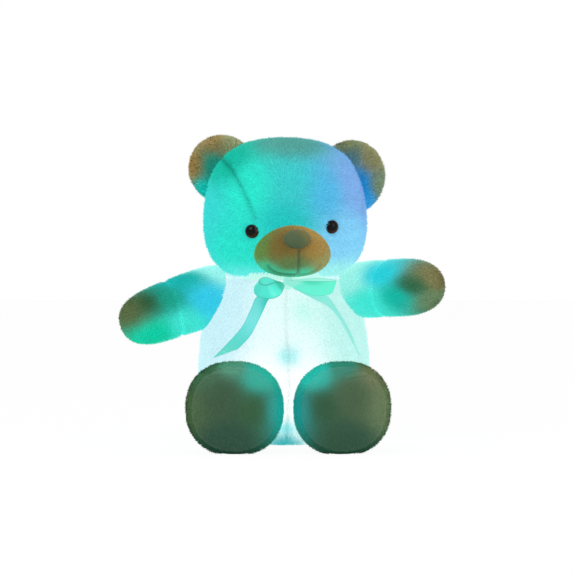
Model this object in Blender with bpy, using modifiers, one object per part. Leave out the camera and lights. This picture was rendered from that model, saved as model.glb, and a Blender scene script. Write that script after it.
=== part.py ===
"""Plush teddy bear night light, seated, with a ribbon bow and a battery lamp set inside.

The bear faces -Y, its left is +X and it sits on the plane Z = 0. Lengths are in metres.
Each soft piece is a ball-like cage, moved ring by ring to shares of its own size and
smoothed by subdivision. Limbs turn on round roots that sit in sockets of the body.
Sizes are those of the cloth skin; the pile of the plush stands outside them.
"""

import math

import bmesh
import bpy
from mathutils import Matrix, Vector
from mathutils.bvhtree import BVHTree

# Clearances that every piece shares
SEAM_GAP = 0.0003
SOCKET_SLACK = 0.0010
SWEEP_GAP = 0.0006
FLAT_CUT = 0.0005
OVERRUN = 0.010
REACH = 0.400
MERGE = 0.00001

# Body
BODY_WIDTH = 0.167
BODY_DEPTH = 0.130
NECK_HEIGHT = 0.170
NECK_CUT = 0.014

# Head, measured up from the neck seam
HEAD_WIDTH = 0.158
HEAD_DEPTH = 0.138
HEAD_HEIGHT = 0.142
HEAD_SINK = 0.010
HEAD_FORWARD = 0.010
HEAD_TURN = 6.5

# Muzzle and nose
MUZZLE_WIDTH = 0.072
MUZZLE_HEIGHT = 0.0485
MUZZLE_DEPTH = 0.080
MUZZLE_RISE = -0.0030
MUZZLE_FORWARD = 0.072
NOSE_WIDTH = 0.026
NOSE_HEIGHT = 0.0185
NOSE_DEPTH = 0.013
NOSE_RISE = 0.0322
NOSE_BITE = 0.004

# Ears
EAR_WIDTH = 0.060
EAR_HEIGHT = 0.062
EAR_THICKNESS = 0.024
RIGHT_EAR_SIDE = 0.062
LEFT_EAR_SIDE = 0.069
EAR_BACK = 0.004
EAR_RAKE = 14.0
EAR_LEAN = 30.0
RIGHT_EAR_RISE = 0.105
LEFT_EAR_RISE = 0.098

# Safety eyes: a glossy button, its stem and the washer that locks it inside
EYE_DIAMETER = 0.0135
EYE_DOME = 0.0045
EYE_RIM = 0.0014
EYE_SINK = 0.0010
EYE_SPACING = 0.078
RIGHT_EYE_RISE = 0.0402
LEFT_EYE_RISE = 0.0447
EYE_OUTWARD = 14.0
STEM_DIAMETER = 0.0042
STEM_LENGTH = 0.012
WASHER_DIAMETER = 0.013
WASHER_THICKNESS = 0.0016
WASHER_DEPTH = 0.006

# Arms: a round root in the shoulder socket, then a fat mitten
ARM_ROOT = 0.0185
ARM_REACH = 0.109
ARM_THICKNESS = 0.052
ARM_HEIGHT = 0.054
SHOULDER_SPREAD = 0.120
SHOULDER_DROP = 0.019
ARM_LIFT = 10.0
ARM_LOWER = 20.0
RIGHT_ARM_DROP = 17.0
RIGHT_ARM_FORWARD = 16.0
LEFT_ARM_DROP = -4.0
LEFT_ARM_FORWARD = 32.0

# Legs: a round root in the hip socket, then a foot whose sole faces forward
LEG_ROOT = 0.0300
LEG_REACH = 0.097
FOOT_WIDTH = 0.0885
FOOT_HEIGHT = 0.087
SOLE_WIDTH = 0.072
SOLE_HEIGHT = 0.074
SOLE_THICKNESS = 0.012
SOLE_PROUD = 0.0015
HIP_SPREAD = 0.090
HIP_HEIGHT = 0.038
HIP_FORWARD = 0.052
LEG_LIFT = 25.0
RIGHT_LEG_SPLAY = 1.0
LEFT_LEG_SPLAY = 7.0

# Ribbon tied round the neck
RIBBON_WIDTH = 0.020
RIBBON_THICKNESS = 0.0010
BAND_RADIUS = 0.0415
BAND_HEIGHT = 0.0060
BAND_THICKNESS = 0.0036
BAND_DROP = 0.0012
KNOT_WIDTH = 0.011
KNOT_HEIGHT = 0.013
KNOT_DEPTH = 0.012
KNOT_SIDE = 0.004
KNOT_DROP = 0.0100
LEFT_LOOP_LENGTH = 0.050
RIGHT_LOOP_LENGTH = 0.040
LOOP_BULGE = 0.026
LOOP_GATHER = 0.0080
LEFT_LOOP_YAW = 28.0
LEFT_LOOP_DROOP = 9.0
RIGHT_LOOP_YAW = 52.0
RIGHT_LOOP_DROOP = 11.0
TAIL_STAND_OFF = 0.0018
TAIL_DROP = 0.066
RIGHT_TAIL_REACH = 0.063
LEFT_TAIL_REACH = 0.060

# Battery pocket in the back and its hook-and-loop flap
POCKET_SIDE_ROOM = 0.0036
POCKET_TOP_ROOM = 0.0065
POCKET_FLOOR = 0.046
POCKET_REACH = 0.0425
FLAP_MARGIN = 0.006
FLAP_CHIN = 0.016
FLAP_THICKNESS = 0.008
FLAP_CORNER = 0.009
FLAP_GAP = 0.0008
FLAP_RELIEF = 0.0013
STRIP_WIDTH = 0.044
STRIP_HEIGHT = 0.010
STRIP_THICKNESS = 0.0015
STRIP_LIFT = 0.0025

# Battery case for three size AA cells
CELL_DIAMETER = 0.0145
CELL_LENGTH = 0.0505
CELL_PITCH = 0.0152
CELL_COUNT = 3
NUB_DIAMETER = 0.0055
NUB_LENGTH = 0.0010
CASE_WALL = 0.0016
CASE_DEPTH = 0.0200
CASE_CORNER = 0.0012
SPRING_LENGTH = 0.0042
SPRING_DIAMETER = 0.0080
SPRING_WIRE = 0.0007
SPRING_TURNS = 3
CONTACT_WIDTH = 0.0100
CONTACT_THICKNESS = 0.0005
BOARD_ROOM = 0.0110
BOARD_ROOM_DEPTH = 0.0085
COVER_THICKNESS = 0.0018
COVER_LIP = 0.0012
LIP_WALL = 0.0014
COVER_RIB_WIDTH = 0.020
COVER_RIB_HEIGHT = 0.0008
COVER_RIB_THICKNESS = 0.0012
COVER_RIB_PITCH = 0.0030
COVER_RIB_COUNT = 4
SCREW_DIAMETER = 0.0022
SCREW_HEAD = 0.0042
SCREW_HEAD_HEIGHT = 0.0012
SCREW_LENGTH = 0.0060
SCREW_INSET = 0.0078
SCREW_SLOT = 0.0006
BOSS_DIAMETER = 0.0052
SWITCH_INSET = 0.0138
SWITCH_TRAVEL = 0.0040
SWITCH_STEM_WIDTH = 0.0040
SWITCH_STEM_HEIGHT = 0.0024
SWITCH_CAP_WIDTH = 0.0050
SWITCH_CAP_HEIGHT = 0.0034
SWITCH_CAP_RISE = 0.0014
SWITCH_FOOT_MARGIN = 0.0010
SWITCH_FOOT_THICKNESS = 0.0010
SWITCH_BODY_HEIGHT = 0.0045
SWITCH_BODY_MARGIN = 0.0014
BOARD_THICKNESS = 0.0012
BOARD_MARGIN = 0.0006

# Lamp sets: a frosted cup, its board and three coloured lamps, in the body and in the head
LAMP_RADIUS = 0.0165
LAMP_LENGTH = 0.0200
LAMP_WALL = 0.0012
LAMP_SHOULDER = 0.0080
LAMP_BOARD_THICKNESS = 0.0014
LED_DIAMETER = 0.0050
LED_FLANGE = 0.0058
LED_HEIGHT = 0.0080
LED_CIRCLE = 0.0080
LED_COUNT = 3
BODY_LAMP_HEIGHT = 0.085
LAMP_BACK_ROOM = 0.006
HEAD_LAMP_RISE = 0.046
LEAD_DIAMETER = 0.0030

# How finely round things are divided
BODY_SIDES = 12
LIMB_SIDES = 10
SMALL_SIDES = 8
TURN_STEPS = 16
BAND_STEPS = 24
SMALL_TURN_STEPS = 10
SPRING_POINTS = 9
BALL_SEGMENTS = 16
BALL_RINGS = 10

# Rings of each soft piece, from one end to the other:
# share of its length, of its width, of its depth, and how far the ring is moved in depth
BODY_RING_SHARES = (
    (0.000, 0.600, 0.580, 0.00),
    (0.045, 0.850, 0.840, 0.00),
    (0.200, 0.985, 0.975, -0.01),
    (0.400, 1.000, 1.000, -0.02),
    (0.600, 0.950, 0.950, -0.01),
    (0.780, 0.790, 0.740, 0.00),
    (0.895, 0.540, 0.580, 0.00),
    (0.985, 0.400, 0.500, 0.00),
)
HEAD_RING_SHARES = (
    (0.030, 0.440, 0.420, 0.02),
    (0.120, 0.860, 0.780, 0.01),
    (0.300, 1.000, 0.960, -0.01),
    (0.520, 1.000, 1.000, 0.00),
    (0.740, 0.925, 0.935, 0.02),
    (0.890, 0.750, 0.740, 0.03),
    (0.975, 0.450, 0.440, 0.03),
)
MUZZLE_RING_SHARES = (
    (0.060, 0.620, 0.700, 0.02),
    (0.320, 1.000, 0.980, 0.00),
    (0.620, 0.920, 1.000, 0.00),
    (0.880, 0.560, 0.820, 0.02),
)
NOSE_RING_SHARES = (
    (0.260, 0.900, 0.900, 0.00),
    (0.760, 0.880, 0.880, 0.00),
)
KNOT_RING_SHARES = (
    (0.220, 0.900, 0.900, 0.00),
    (0.780, 0.900, 0.900, 0.00),
)
SOLE_RING_SHARES = (
    (0.200, 0.960, 0.960, 0.00),
    (0.780, 0.960, 0.960, 0.00),
)
EAR_RING_SHARES = (
    (0.100, 0.700, 0.700, 0.00),
    (0.500, 1.000, 1.000, 0.00),
    (0.980, 0.860, 0.860, 0.00),
    (0.860, 0.520, 0.520, 0.00),
)
ARM_RING_SHARES = (
    (0.050, 0.760, 0.710, 0.00),
    (0.200, 1.010, 0.970, 0.02),
    (0.480, 0.970, 0.980, 0.01),
    (0.730, 1.000, 1.000, 0.00),
    (0.900, 0.800, 0.780, 0.00),
    (0.975, 0.480, 0.460, 0.00),
)
LEG_RING_SHARES = (
    (0.060, 0.520, 0.520, -0.08),
    (0.240, 0.730, 0.710, -0.08),
    (0.500, 0.760, 0.750, -0.06),
    (0.720, 0.940, 0.940, -0.01),
    (0.880, 1.000, 1.000, 0.00),
    (0.965, 0.880, 0.880, 0.00),
    (0.995, 0.520, 0.520, 0.00),
)
ROUND_END_SHARES = (0.0, 1.0)
EAR_END_SHARES = (0.0, 0.78)

# Ribbon tails, as shares of their reach, their drop and the ribbon's width, then turns of twist
RIGHT_TAIL_SHARES = (
    (0.07, 0.05, 0.30, 0.00),
    (0.20, 0.15, 0.38, 0.00),
    (0.36, 0.24, 0.54, 0.00),
    (0.47, 0.38, 0.66, 0.00),
    (0.60, 0.62, 0.72, 0.00),
    (0.75, 0.84, 0.74, 0.02),
    (0.98, 1.05, 0.66, 0.03),
)
LEFT_TAIL_SHARES = (
    (0.07, 0.05, 0.30, 0.00),
    (0.19, 0.15, 0.38, 0.00),
    (0.36, 0.20, 0.46, 0.00),
    (0.62, 0.34, 0.60, -0.04),
    (0.84, 0.56, 0.56, -0.10),
    (1.00, 0.84, 0.50, -0.16),
    (1.08, 1.10, 0.42, -0.20),
)
TAIL_STEPS = 12
LOOP_STEPS = 16
LOOP_START_SHARE = 0.085
LOOP_WIDEST_SHARE = 0.45


# Scene, collections and materials


def clear_scene():
    for thing in list(bpy.data.objects):
        bpy.data.objects.remove(thing)


def new_collection(name):
    made = bpy.data.collections.new(name)
    bpy.context.scene.collection.children.link(made)
    return made


def new_material(name, colour, roughness, metallic=0.0):
    made = bpy.data.materials.new(name)
    made.use_nodes = True
    shader = made.node_tree.nodes["Principled BSDF"]
    shader.inputs["Base Color"].default_value = (*colour, 1.0)
    shader.inputs["Roughness"].default_value = roughness
    shader.inputs["Metallic"].default_value = metallic
    return made


# Objects and modifiers


def put(name, mesh, home, material=None, parent=None, place=(0, 0, 0), turn=None):
    """Makes an object of a mesh. turn is a rotation matrix or None."""
    thing = bpy.data.objects.new(name, mesh)
    home.objects.link(thing)
    thing.parent = parent
    thing.location = place
    if turn is not None:
        thing.rotation_euler = turn.to_euler()
    if material is not None and not mesh.materials:
        mesh.materials.append(material)
    if home.name == "cutters":
        mark_as_cutter(thing)
    return thing


def mark_as_cutter(thing):
    thing.hide_render = True
    thing.display_type = "WIRE"


def add_pivot(name, home, place, turn=None, parent=None):
    pivot = bpy.data.objects.new(name, None)
    home.objects.link(pivot)
    pivot.parent = parent
    pivot.location = place
    if turn is not None:
        pivot.rotation_euler = turn.to_euler()
    return pivot


def swollen_copy(thing, distance, cutters):
    """A cutter with the thing's own form, moved out by a distance, or in by a negative one."""
    copy = thing.copy()
    copy.name = "room for " + thing.name
    for modifier in [m for m in copy.modifiers if m.type == "BOOLEAN"]:
        copy.modifiers.remove(modifier)
    cutters.objects.link(copy)
    mark_as_cutter(copy)
    modifier = copy.modifiers.new("swell", "DISPLACE")
    modifier.mid_level = 0.0
    modifier.strength = distance
    return copy


def smooth(thing, levels=1):
    """Rounds a cage by subdivision."""
    modifier = thing.modifiers.new("round", "SUBSURF")
    modifier.levels = levels
    modifier.render_levels = levels
    return thing


def combine(thing, other, operation):
    modifier = thing.modifiers.new(operation.lower() + " " + other.name, "BOOLEAN")
    modifier.operation = operation
    modifier.object = other
    modifier.solver = "EXACT"
    return thing


def cut(thing, cutter):
    return combine(thing, cutter, "DIFFERENCE")


def keep_inside(thing, cutter):
    return combine(thing, cutter, "INTERSECT")


def join(thing, other):
    return combine(thing, other, "UNION")


def bevel(thing, width, segments=2):
    modifier = thing.modifiers.new("rounded edges", "BEVEL")
    modifier.width = width
    modifier.segments = segments
    modifier.limit_method = "ANGLE"
    return thing


def rotation(axis, degrees):
    return Matrix.Rotation(math.radians(degrees), 4, axis)


def aim(direction):
    """A rotation whose own Z points along a direction and whose own Y points up."""
    ahead = Vector(direction).normalized()
    side = Vector((0, 0, 1)).cross(ahead).normalized()
    up = ahead.cross(side)
    return Matrix((side, up, ahead)).transposed().to_4x4()


def surface_of(thing):
    """A searchable copy of an object's evaluated surface, in its own frame."""
    bpy.context.view_layer.update()
    return BVHTree.FromObject(thing, bpy.context.evaluated_depsgraph_get())


def hit_from(surface, start, direction):
    """Where a line from start first meets a surface, and the way out of it there."""
    place, normal, _, _ = surface.ray_cast(Vector(start), Vector(direction))
    if normal.dot(Vector(direction)) > 0:
        normal = -normal
    return place, normal


# Basic shapes


def soft_mesh(name, size, ring_shares, end_shares, sides, base=0.0):
    """A ball cage moved ring by ring to shares of the form's size.

    size is (width, depth, length) after one level of subdivision, and the form
    starts at base along its own Z.
    """
    width, depth, length = size
    cage = bmesh.new()
    bmesh.ops.create_uvsphere(cage, u_segments=sides, v_segments=len(ring_shares) + 1, radius=1)
    levels = sorted({round(v.co.z, 4) for v in cage.verts})
    for v in cage.verts:
        ring = levels.index(round(v.co.z, 4)) - 1
        if ring in (-1, len(ring_shares)):
            share = end_shares[0] if ring < 0 else end_shares[1]
            near = ring_shares[0] if ring < 0 else ring_shares[-1]
            v.co = Vector((0, near[3] * depth, share * length))
            continue
        along, wide, deep, shift = ring_shares[ring]
        out = Vector((v.co.x, v.co.y)).normalized()
        x = out.x * wide * width / 2
        y = out.y * deep * depth / 2 + shift * depth
        v.co = Vector((x, y, along * length))
    mesh = bpy.data.meshes.new(name)
    cage.to_mesh(mesh)
    cage.free()
    fit_to_size(mesh, size)
    mesh.transform(Matrix.Translation((0, 0, base)))
    mesh.shade_smooth()
    return mesh


def fit_to_size(mesh, size):
    """Scales a cage so that its subdivided form has the given size and starts at zero."""
    probe = smooth(bpy.data.objects.new("probe", mesh))
    bpy.context.scene.collection.objects.link(probe)
    bpy.context.view_layer.update()
    rounded = probe.evaluated_get(bpy.context.evaluated_depsgraph_get())
    points = [v.co.copy() for v in rounded.to_mesh().vertices]
    rounded.to_mesh_clear()
    low = Vector([min(p[k] for p in points) for k in range(3)])
    high = Vector([max(p[k] for p in points) for k in range(3)])
    bpy.data.objects.remove(probe)
    grow = [size[k] / (high[k] - low[k]) for k in range(3)]
    middle = (low + high) / 2
    shift = Matrix.Translation((-middle.x, -middle.y, -low.z))
    mesh.transform(Matrix.Diagonal((*grow, 1)) @ shift)


def box_mesh(name, size, centre=(0, 0, 0)):
    block = bmesh.new()
    bmesh.ops.create_cube(block, size=1)
    mesh = bpy.data.meshes.new(name)
    block.to_mesh(mesh)
    block.free()
    mesh.transform(Matrix.Translation(centre) @ Matrix.Diagonal((*size, 1)))
    return mesh


def rod_mesh(name, radius, length, base=0.0, steps=TURN_STEPS):
    """A solid cylinder along Z, from base upwards."""
    rod = bmesh.new()
    bmesh.ops.create_cone(
        rod, cap_ends=True, segments=steps, radius1=radius, radius2=radius, depth=length
    )
    mesh = bpy.data.meshes.new(name)
    rod.to_mesh(mesh)
    rod.free()
    mesh.transform(Matrix.Translation((0, 0, base + length / 2)))
    return mesh


def ball_mesh(name, radius):
    ball = bmesh.new()
    bmesh.ops.create_uvsphere(
        ball, u_segments=BALL_SEGMENTS, v_segments=BALL_RINGS, radius=radius
    )
    mesh = bpy.data.meshes.new(name)
    ball.to_mesh(mesh)
    ball.free()
    mesh.shade_smooth()
    return mesh


def profile_mesh(name, profile, closed=False):
    """A line of (radius, height) points that runs down the outer side first."""
    mesh = bpy.data.meshes.new(name)
    points = [(radius, 0, height) for radius, height in profile]
    edges = [(i, i + 1) for i in range(len(points) - 1)]
    if closed:
        edges.append((len(points) - 1, 0))
    mesh.from_pydata(points, edges, [])
    return mesh


def turn_profile(thing, steps=TURN_STEPS):
    modifier = thing.modifiers.new("turn", "SCREW")
    modifier.axis = "Z"
    modifier.steps = steps
    modifier.render_steps = steps
    modifier.use_merge_vertices = True
    modifier.merge_threshold = MERGE
    modifier.use_smooth_shade = True
    return thing


def dome_points(radius, top, rise, count=4):
    """Points of a dome from its top, on the axis, down to its edge."""
    angles = [math.pi / 2 * i / count for i in range(count + 1)]
    return [(radius * math.sin(a), top - rise * (1 - math.cos(a))) for a in angles]


def tube(name, points, radius, home, material, parent=None):
    """A wire or cable: a curve through its points with a round section and closed ends."""
    curve = bpy.data.curves.new(name, "CURVE")
    curve.dimensions = "3D"
    curve.bevel_depth = radius
    curve.bevel_resolution = 1
    curve.use_fill_caps = True
    spline = curve.splines.new("POLY")
    spline.points.add(len(points) - 1)
    for point, place in zip(spline.points, points):
        point.co = (*place, 1)
    curve.materials.append(material)
    thing = bpy.data.objects.new(name, curve)
    home.objects.link(thing)
    thing.parent = parent
    return thing


def strip_mesh(name, stations):
    """A ribbon through stations, each a centre, a sideways direction and a width."""
    strip = bmesh.new()
    rows = []
    for centre, side, width in stations:
        reach = side.normalized() * width / 2
        rows.append([strip.verts.new(centre - reach), strip.verts.new(centre + reach)])
    for here, after in zip(rows, rows[1:]):
        strip.faces.new((here[0], here[1], after[1], after[0]))
    mesh = bpy.data.meshes.new(name)
    strip.to_mesh(mesh)
    strip.free()
    mesh.shade_smooth()
    return mesh


def thicken(thing, thickness):
    modifier = thing.modifiers.new("thickness", "SOLIDIFY")
    modifier.thickness = thickness
    modifier.offset = 0.0
    return thing


def blend_shares(rows, t):
    """A smooth value from a table of shares, at t from 0 to 1 along it."""
    at = t * (len(rows) - 1)
    k = min(int(at), len(rows) - 2)
    u = at - k
    before = rows[max(k - 1, 0)]
    after = rows[min(k + 2, len(rows) - 1)]
    out = []
    for p, a, b, q in zip(before, rows[k], rows[k + 1], after):
        bend = (2 * p - 5 * a + 4 * b - q) * u * u + (3 * a - p - 3 * b + q) * u ** 3
        out.append(a + ((b - p) * u + bend) / 2)
    return out


# Body


def make_body(home, cutters, plush):
    body = put(
        "torso",
        soft_mesh(
            "torso",
            (BODY_WIDTH, BODY_DEPTH, NECK_HEIGHT + NECK_CUT),
            BODY_RING_SHARES,
            ROUND_END_SHARES,
            BODY_SIDES,
            -FLAT_CUT,
        ),
        home,
        plush,
    )
    smooth(body)
    form = swollen_copy(body, 0.0, cutters)
    form.name = "whole body form"
    ground = put(
        "ground", box_mesh("ground", (REACH, REACH, REACH), (0, 0, -REACH / 2)), cutters
    )
    cut(body, ground)
    above = box_mesh("above neck", (REACH, REACH, REACH), (0, 0, NECK_HEIGHT + REACH / 2))
    cut(body, put("above neck", above, cutters))
    return body, form, ground


def sweep_room(form, pivot, axis, degrees, cutters):
    """The body as a limb meets it when the limb has turned by an angle about its pivot."""
    room = swollen_copy(form, SWEEP_GAP, cutters)
    back = Matrix.Rotation(math.radians(-degrees), 4, axis)
    room.location = pivot - back @ pivot
    room.rotation_euler = back.to_euler()
    return room


def make_limb(name, pivot, mesh, root_radius, form, axis, angles, home, cutters, plush):
    """A stuffed limb, cleared of the body at every angle, with its round root."""
    limb = put(name, mesh, home, plush, parent=pivot)
    smooth(limb)
    for degrees in angles:
        cut(limb, sweep_room(form, pivot.location, axis, degrees, cutters))
    root = put(name + " root", ball_mesh(name + " root", root_radius), cutters, parent=pivot)
    join(limb, root)
    return limb


def make_socket(body, pivot, root_radius, cutters):
    radius = root_radius + SOCKET_SLACK
    socket = put("socket at " + pivot.name, ball_mesh("socket", radius), cutters)
    socket.location = pivot.location
    cut(body, socket)


def make_arm(side, drop, forward, body, form, home, cutters, plush):
    """side is 1 for the bear's left arm and -1 for its right arm."""
    name = "arm_left" if side > 0 else "arm_right"
    flat = math.cos(math.radians(drop))
    direction = Vector(
        (
            side * flat * math.cos(math.radians(forward)),
            -flat * math.sin(math.radians(forward)),
            -math.sin(math.radians(drop)),
        )
    )
    place = Vector((side * SHOULDER_SPREAD / 2, 0, NECK_HEIGHT - SHOULDER_DROP))
    pivot = add_pivot(name + "_shoulder", home, place, aim(direction))
    axis = direction.cross(Vector((0, 0, 1))).normalized()
    mesh = soft_mesh(
        name,
        (ARM_THICKNESS, ARM_HEIGHT, ARM_REACH),
        ARM_RING_SHARES,
        ROUND_END_SHARES,
        SMALL_SIDES,
    )
    angles = (ARM_LIFT, (ARM_LIFT - ARM_LOWER) / 2, -ARM_LOWER)
    make_socket(body, pivot, ARM_ROOT, cutters)
    return make_limb(name, pivot, mesh, ARM_ROOT, form, axis, angles, home, cutters, plush)


def make_leg(side, splay, body, form, ground, home, cutters, plush, velvet):
    """side is 1 for the bear's left leg and -1 for its right leg."""
    name = "leg_left" if side > 0 else "leg_right"
    turn = math.radians(splay)
    direction = Vector((side * math.sin(turn), -math.cos(turn), 0))
    place = Vector((side * HIP_SPREAD / 2, -HIP_FORWARD, HIP_HEIGHT))
    pivot = add_pivot(name + "_hip", home, place, aim(direction))
    mesh = soft_mesh(
        name,
        (FOOT_WIDTH, FOOT_HEIGHT, LEG_REACH),
        LEG_RING_SHARES,
        ROUND_END_SHARES,
        LIMB_SIDES,
    )
    foot_centre = FOOT_HEIGHT / 2 - FLAT_CUT - HIP_HEIGHT
    mesh.transform(Matrix.Translation((0, foot_centre, 0)))
    axis = direction.cross(Vector((0, 0, 1))).normalized()
    make_socket(body, pivot, LEG_ROOT, cutters)
    angles = (0, LEG_LIFT / 2, LEG_LIFT)
    leg = make_limb(name, pivot, mesh, LEG_ROOT, form, axis, angles, home, cutters, plush)
    cut(leg, ground)
    sole_name = "sole_left" if side > 0 else "sole_right"
    sole = put(
        sole_name,
        soft_mesh(
            sole_name,
            (SOLE_WIDTH, SOLE_HEIGHT, SOLE_THICKNESS),
            SOLE_RING_SHARES,
            ROUND_END_SHARES,
            LIMB_SIDES,
        ),
        home,
        velvet,
        parent=pivot,
        place=(0, foot_centre, LEG_REACH + SOLE_PROUD - SOLE_THICKNESS),
    )
    smooth(sole)
    cut(leg, swollen_copy(sole, SEAM_GAP, cutters))
    return leg, sole


# Head


def make_head(home, cutters, plush):
    neck = Vector((0, 0, NECK_HEIGHT))
    pivot = add_pivot("head_turn", home, neck, rotation("Z", HEAD_TURN))
    head = put(
        "head",
        soft_mesh(
            "head",
            (HEAD_WIDTH, HEAD_DEPTH, HEAD_HEIGHT),
            HEAD_RING_SHARES,
            ROUND_END_SHARES,
            BODY_SIDES,
            -HEAD_SINK,
        ),
        home,
        plush,
        parent=pivot,
        place=(0, -HEAD_FORWARD, 0),
    )
    smooth(head)
    form = swollen_copy(head, SEAM_GAP, cutters)
    below = box_mesh("below neck", (REACH, REACH, REACH), (0, 0, SEAM_GAP - REACH / 2))
    cut(head, put("below neck", below, cutters, parent=pivot))
    return pivot, head, form


def make_muzzle(pivot, head_form, home, cutters, velvet):
    muzzle = put(
        "muzzle",
        soft_mesh(
            "muzzle",
            (MUZZLE_WIDTH, MUZZLE_DEPTH, MUZZLE_HEIGHT),
            MUZZLE_RING_SHARES,
            ROUND_END_SHARES,
            LIMB_SIDES,
        ),
        home,
        velvet,
        parent=pivot,
        place=(0, -MUZZLE_FORWARD, MUZZLE_RISE),
    )
    smooth(muzzle)
    cut(muzzle, head_form)
    return muzzle


def make_nose(pivot, muzzle, home, cutters, velvet):
    form = swollen_copy(muzzle, SEAM_GAP, cutters)
    start = Vector((0, -REACH, NOSE_RISE - MUZZLE_RISE))
    seat, _ = hit_from(surface_of(form), start, (0, 1, 0))
    nose = put(
        "nose",
        soft_mesh(
            "nose",
            (NOSE_WIDTH, NOSE_HEIGHT, NOSE_DEPTH),
            NOSE_RING_SHARES,
            ROUND_END_SHARES,
            SMALL_SIDES,
        ),
        home,
        velvet,
        parent=pivot,
        place=(0, seat.y - MUZZLE_FORWARD + NOSE_BITE, NOSE_RISE),
        turn=rotation("X", 90),
    )
    smooth(nose)
    cut(nose, form)
    return nose


def make_ear(side, out, rise, pivot, head_form, home, cutters, plush):
    name = "ear_left" if side > 0 else "ear_right"
    turn = rotation("Z", side * EAR_RAKE) @ rotation("Y", side * EAR_LEAN) @ rotation("X", 90)
    ear = put(
        name,
        soft_mesh(
            name,
            (EAR_WIDTH, EAR_HEIGHT, EAR_THICKNESS),
            EAR_RING_SHARES,
            EAR_END_SHARES,
            SMALL_SIDES,
            -EAR_THICKNESS / 2,
        ),
        home,
        plush,
        parent=pivot,
        place=(side * out, EAR_BACK, rise),
        turn=turn,
    )
    smooth(ear)
    cut(ear, head_form)
    return ear


def make_eye(side, rise, pivot, head, head_form, home, cutters, glossy, plastic):
    """The button sits a little into the cloth; its washer locks the stem inside."""
    word = "left" if side > 0 else "right"
    x = side * EYE_SPACING / 2
    start = (x, -REACH, rise)
    seat, _ = hit_from(surface_of(head_form), start, (0, 1, 0))
    place = Vector((x, seat.y - HEAD_FORWARD + EYE_SINK, rise))
    turn = rotation("Z", side * EYE_OUTWARD) @ rotation("X", 90)
    radius = EYE_DIAMETER / 2
    stem = STEM_DIAMETER / 2
    profile = dome_points(radius, EYE_RIM + EYE_DOME, EYE_DOME)
    profile += [(radius, 0), (stem, 0), (stem, -STEM_LENGTH), (0, -STEM_LENGTH)]
    eye_name = "eye_" + word
    eye = put(
        eye_name, profile_mesh(eye_name, profile), home, glossy, parent=pivot, place=place,
        turn=turn,
    )
    turn_profile(eye)
    ring = [
        (stem + SEAM_GAP, WASHER_THICKNESS),
        (WASHER_DIAMETER / 2, WASHER_THICKNESS),
        (WASHER_DIAMETER / 2, 0),
        (stem + SEAM_GAP, 0),
    ]
    washer_name = "eye_washer_" + word
    washer = put(
        washer_name, profile_mesh(washer_name, ring, True), home, plastic, parent=pivot,
        turn=turn,
    )
    washer.location = place - turn.to_3x3() @ Vector((0, 0, WASHER_DEPTH))
    turn_profile(washer)
    cut(head, swollen_copy(eye, SEAM_GAP, cutters))
    room = rod_mesh(
        "washer room",
        WASHER_DIAMETER / 2 + SEAM_GAP,
        WASHER_THICKNESS + 2 * SEAM_GAP,
        -SEAM_GAP,
    )
    slot = put("washer room " + word, room, cutters, parent=pivot, turn=turn)
    slot.location = washer.location
    cut(head, slot)
    return eye, washer


# Ribbon and bow


def make_neck_ribbon(body, home, cutters, satin):
    inner = BAND_RADIUS - BAND_THICKNESS / 2
    outer = BAND_RADIUS + BAND_THICKNESS / 2
    ring = [(inner, BAND_HEIGHT), (outer, BAND_HEIGHT), (outer, 0), (inner, 0)]
    band = put(
        "neck_ribbon",
        profile_mesh("neck_ribbon", ring, True),
        home,
        satin,
        place=(0, 0, NECK_HEIGHT - BAND_DROP - BAND_HEIGHT),
    )
    turn_profile(band, BAND_STEPS)
    room = [
        (inner - SEAM_GAP, BAND_HEIGHT + SEAM_GAP),
        (outer + SEAM_GAP, BAND_HEIGHT + SEAM_GAP),
        (outer + SEAM_GAP, -SEAM_GAP),
        (inner - SEAM_GAP, -SEAM_GAP),
    ]
    groove = put("band room", profile_mesh("band room", room, True), cutters)
    groove.location = band.location
    turn_profile(groove, BAND_STEPS)
    cut(body, groove)
    return band


def make_knot(home, satin):
    """Sits on the front of the neck ribbon."""
    front = BAND_RADIUS + BAND_THICKNESS / 2
    middle = NECK_HEIGHT - KNOT_DROP
    knot = put(
        "bow_knot",
        soft_mesh(
            "bow_knot",
            (KNOT_WIDTH, KNOT_DEPTH, KNOT_HEIGHT),
            KNOT_RING_SHARES,
            ROUND_END_SHARES,
            SMALL_SIDES,
            -KNOT_HEIGHT / 2,
        ),
        home,
        satin,
        place=(KNOT_SIDE, -front - SEAM_GAP - KNOT_DEPTH / 2, middle),
    )
    smooth(knot)
    return knot


def make_loop(side, length, yaw, droop, knot, knot_room, home, satin):
    """The ribbon runs out, turns and comes back, gathered where the knot holds it."""
    first = math.acos(2 * LOOP_START_SHARE - 1)
    stations = []
    for i in range(LOOP_STEPS + 1):
        angle = first * (1 - 2 * i / LOOP_STEPS)
        out = (1 + math.cos(angle)) / 2
        bulge = math.sin(angle) * out * LOOP_BULGE / 2 / LOOP_WIDEST_SHARE
        open_share = min(out / LOOP_WIDEST_SHARE, 1)
        width = LOOP_GATHER + (RIBBON_WIDTH - LOOP_GATHER) * math.sin(open_share * math.pi / 2)
        centre = Vector((side * out * length, bulge, 0))
        stations.append((centre, Vector((0, 0, 1)), width))
    name = "bow_loop_left" if side > 0 else "bow_loop_right"
    turn = rotation("Z", -side * yaw) @ rotation("Y", side * droop)
    loop = put(name, strip_mesh(name, stations), home, satin, place=knot.location, turn=turn)
    thicken(loop, RIBBON_THICKNESS)
    cut(loop, knot_room)
    return loop


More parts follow.
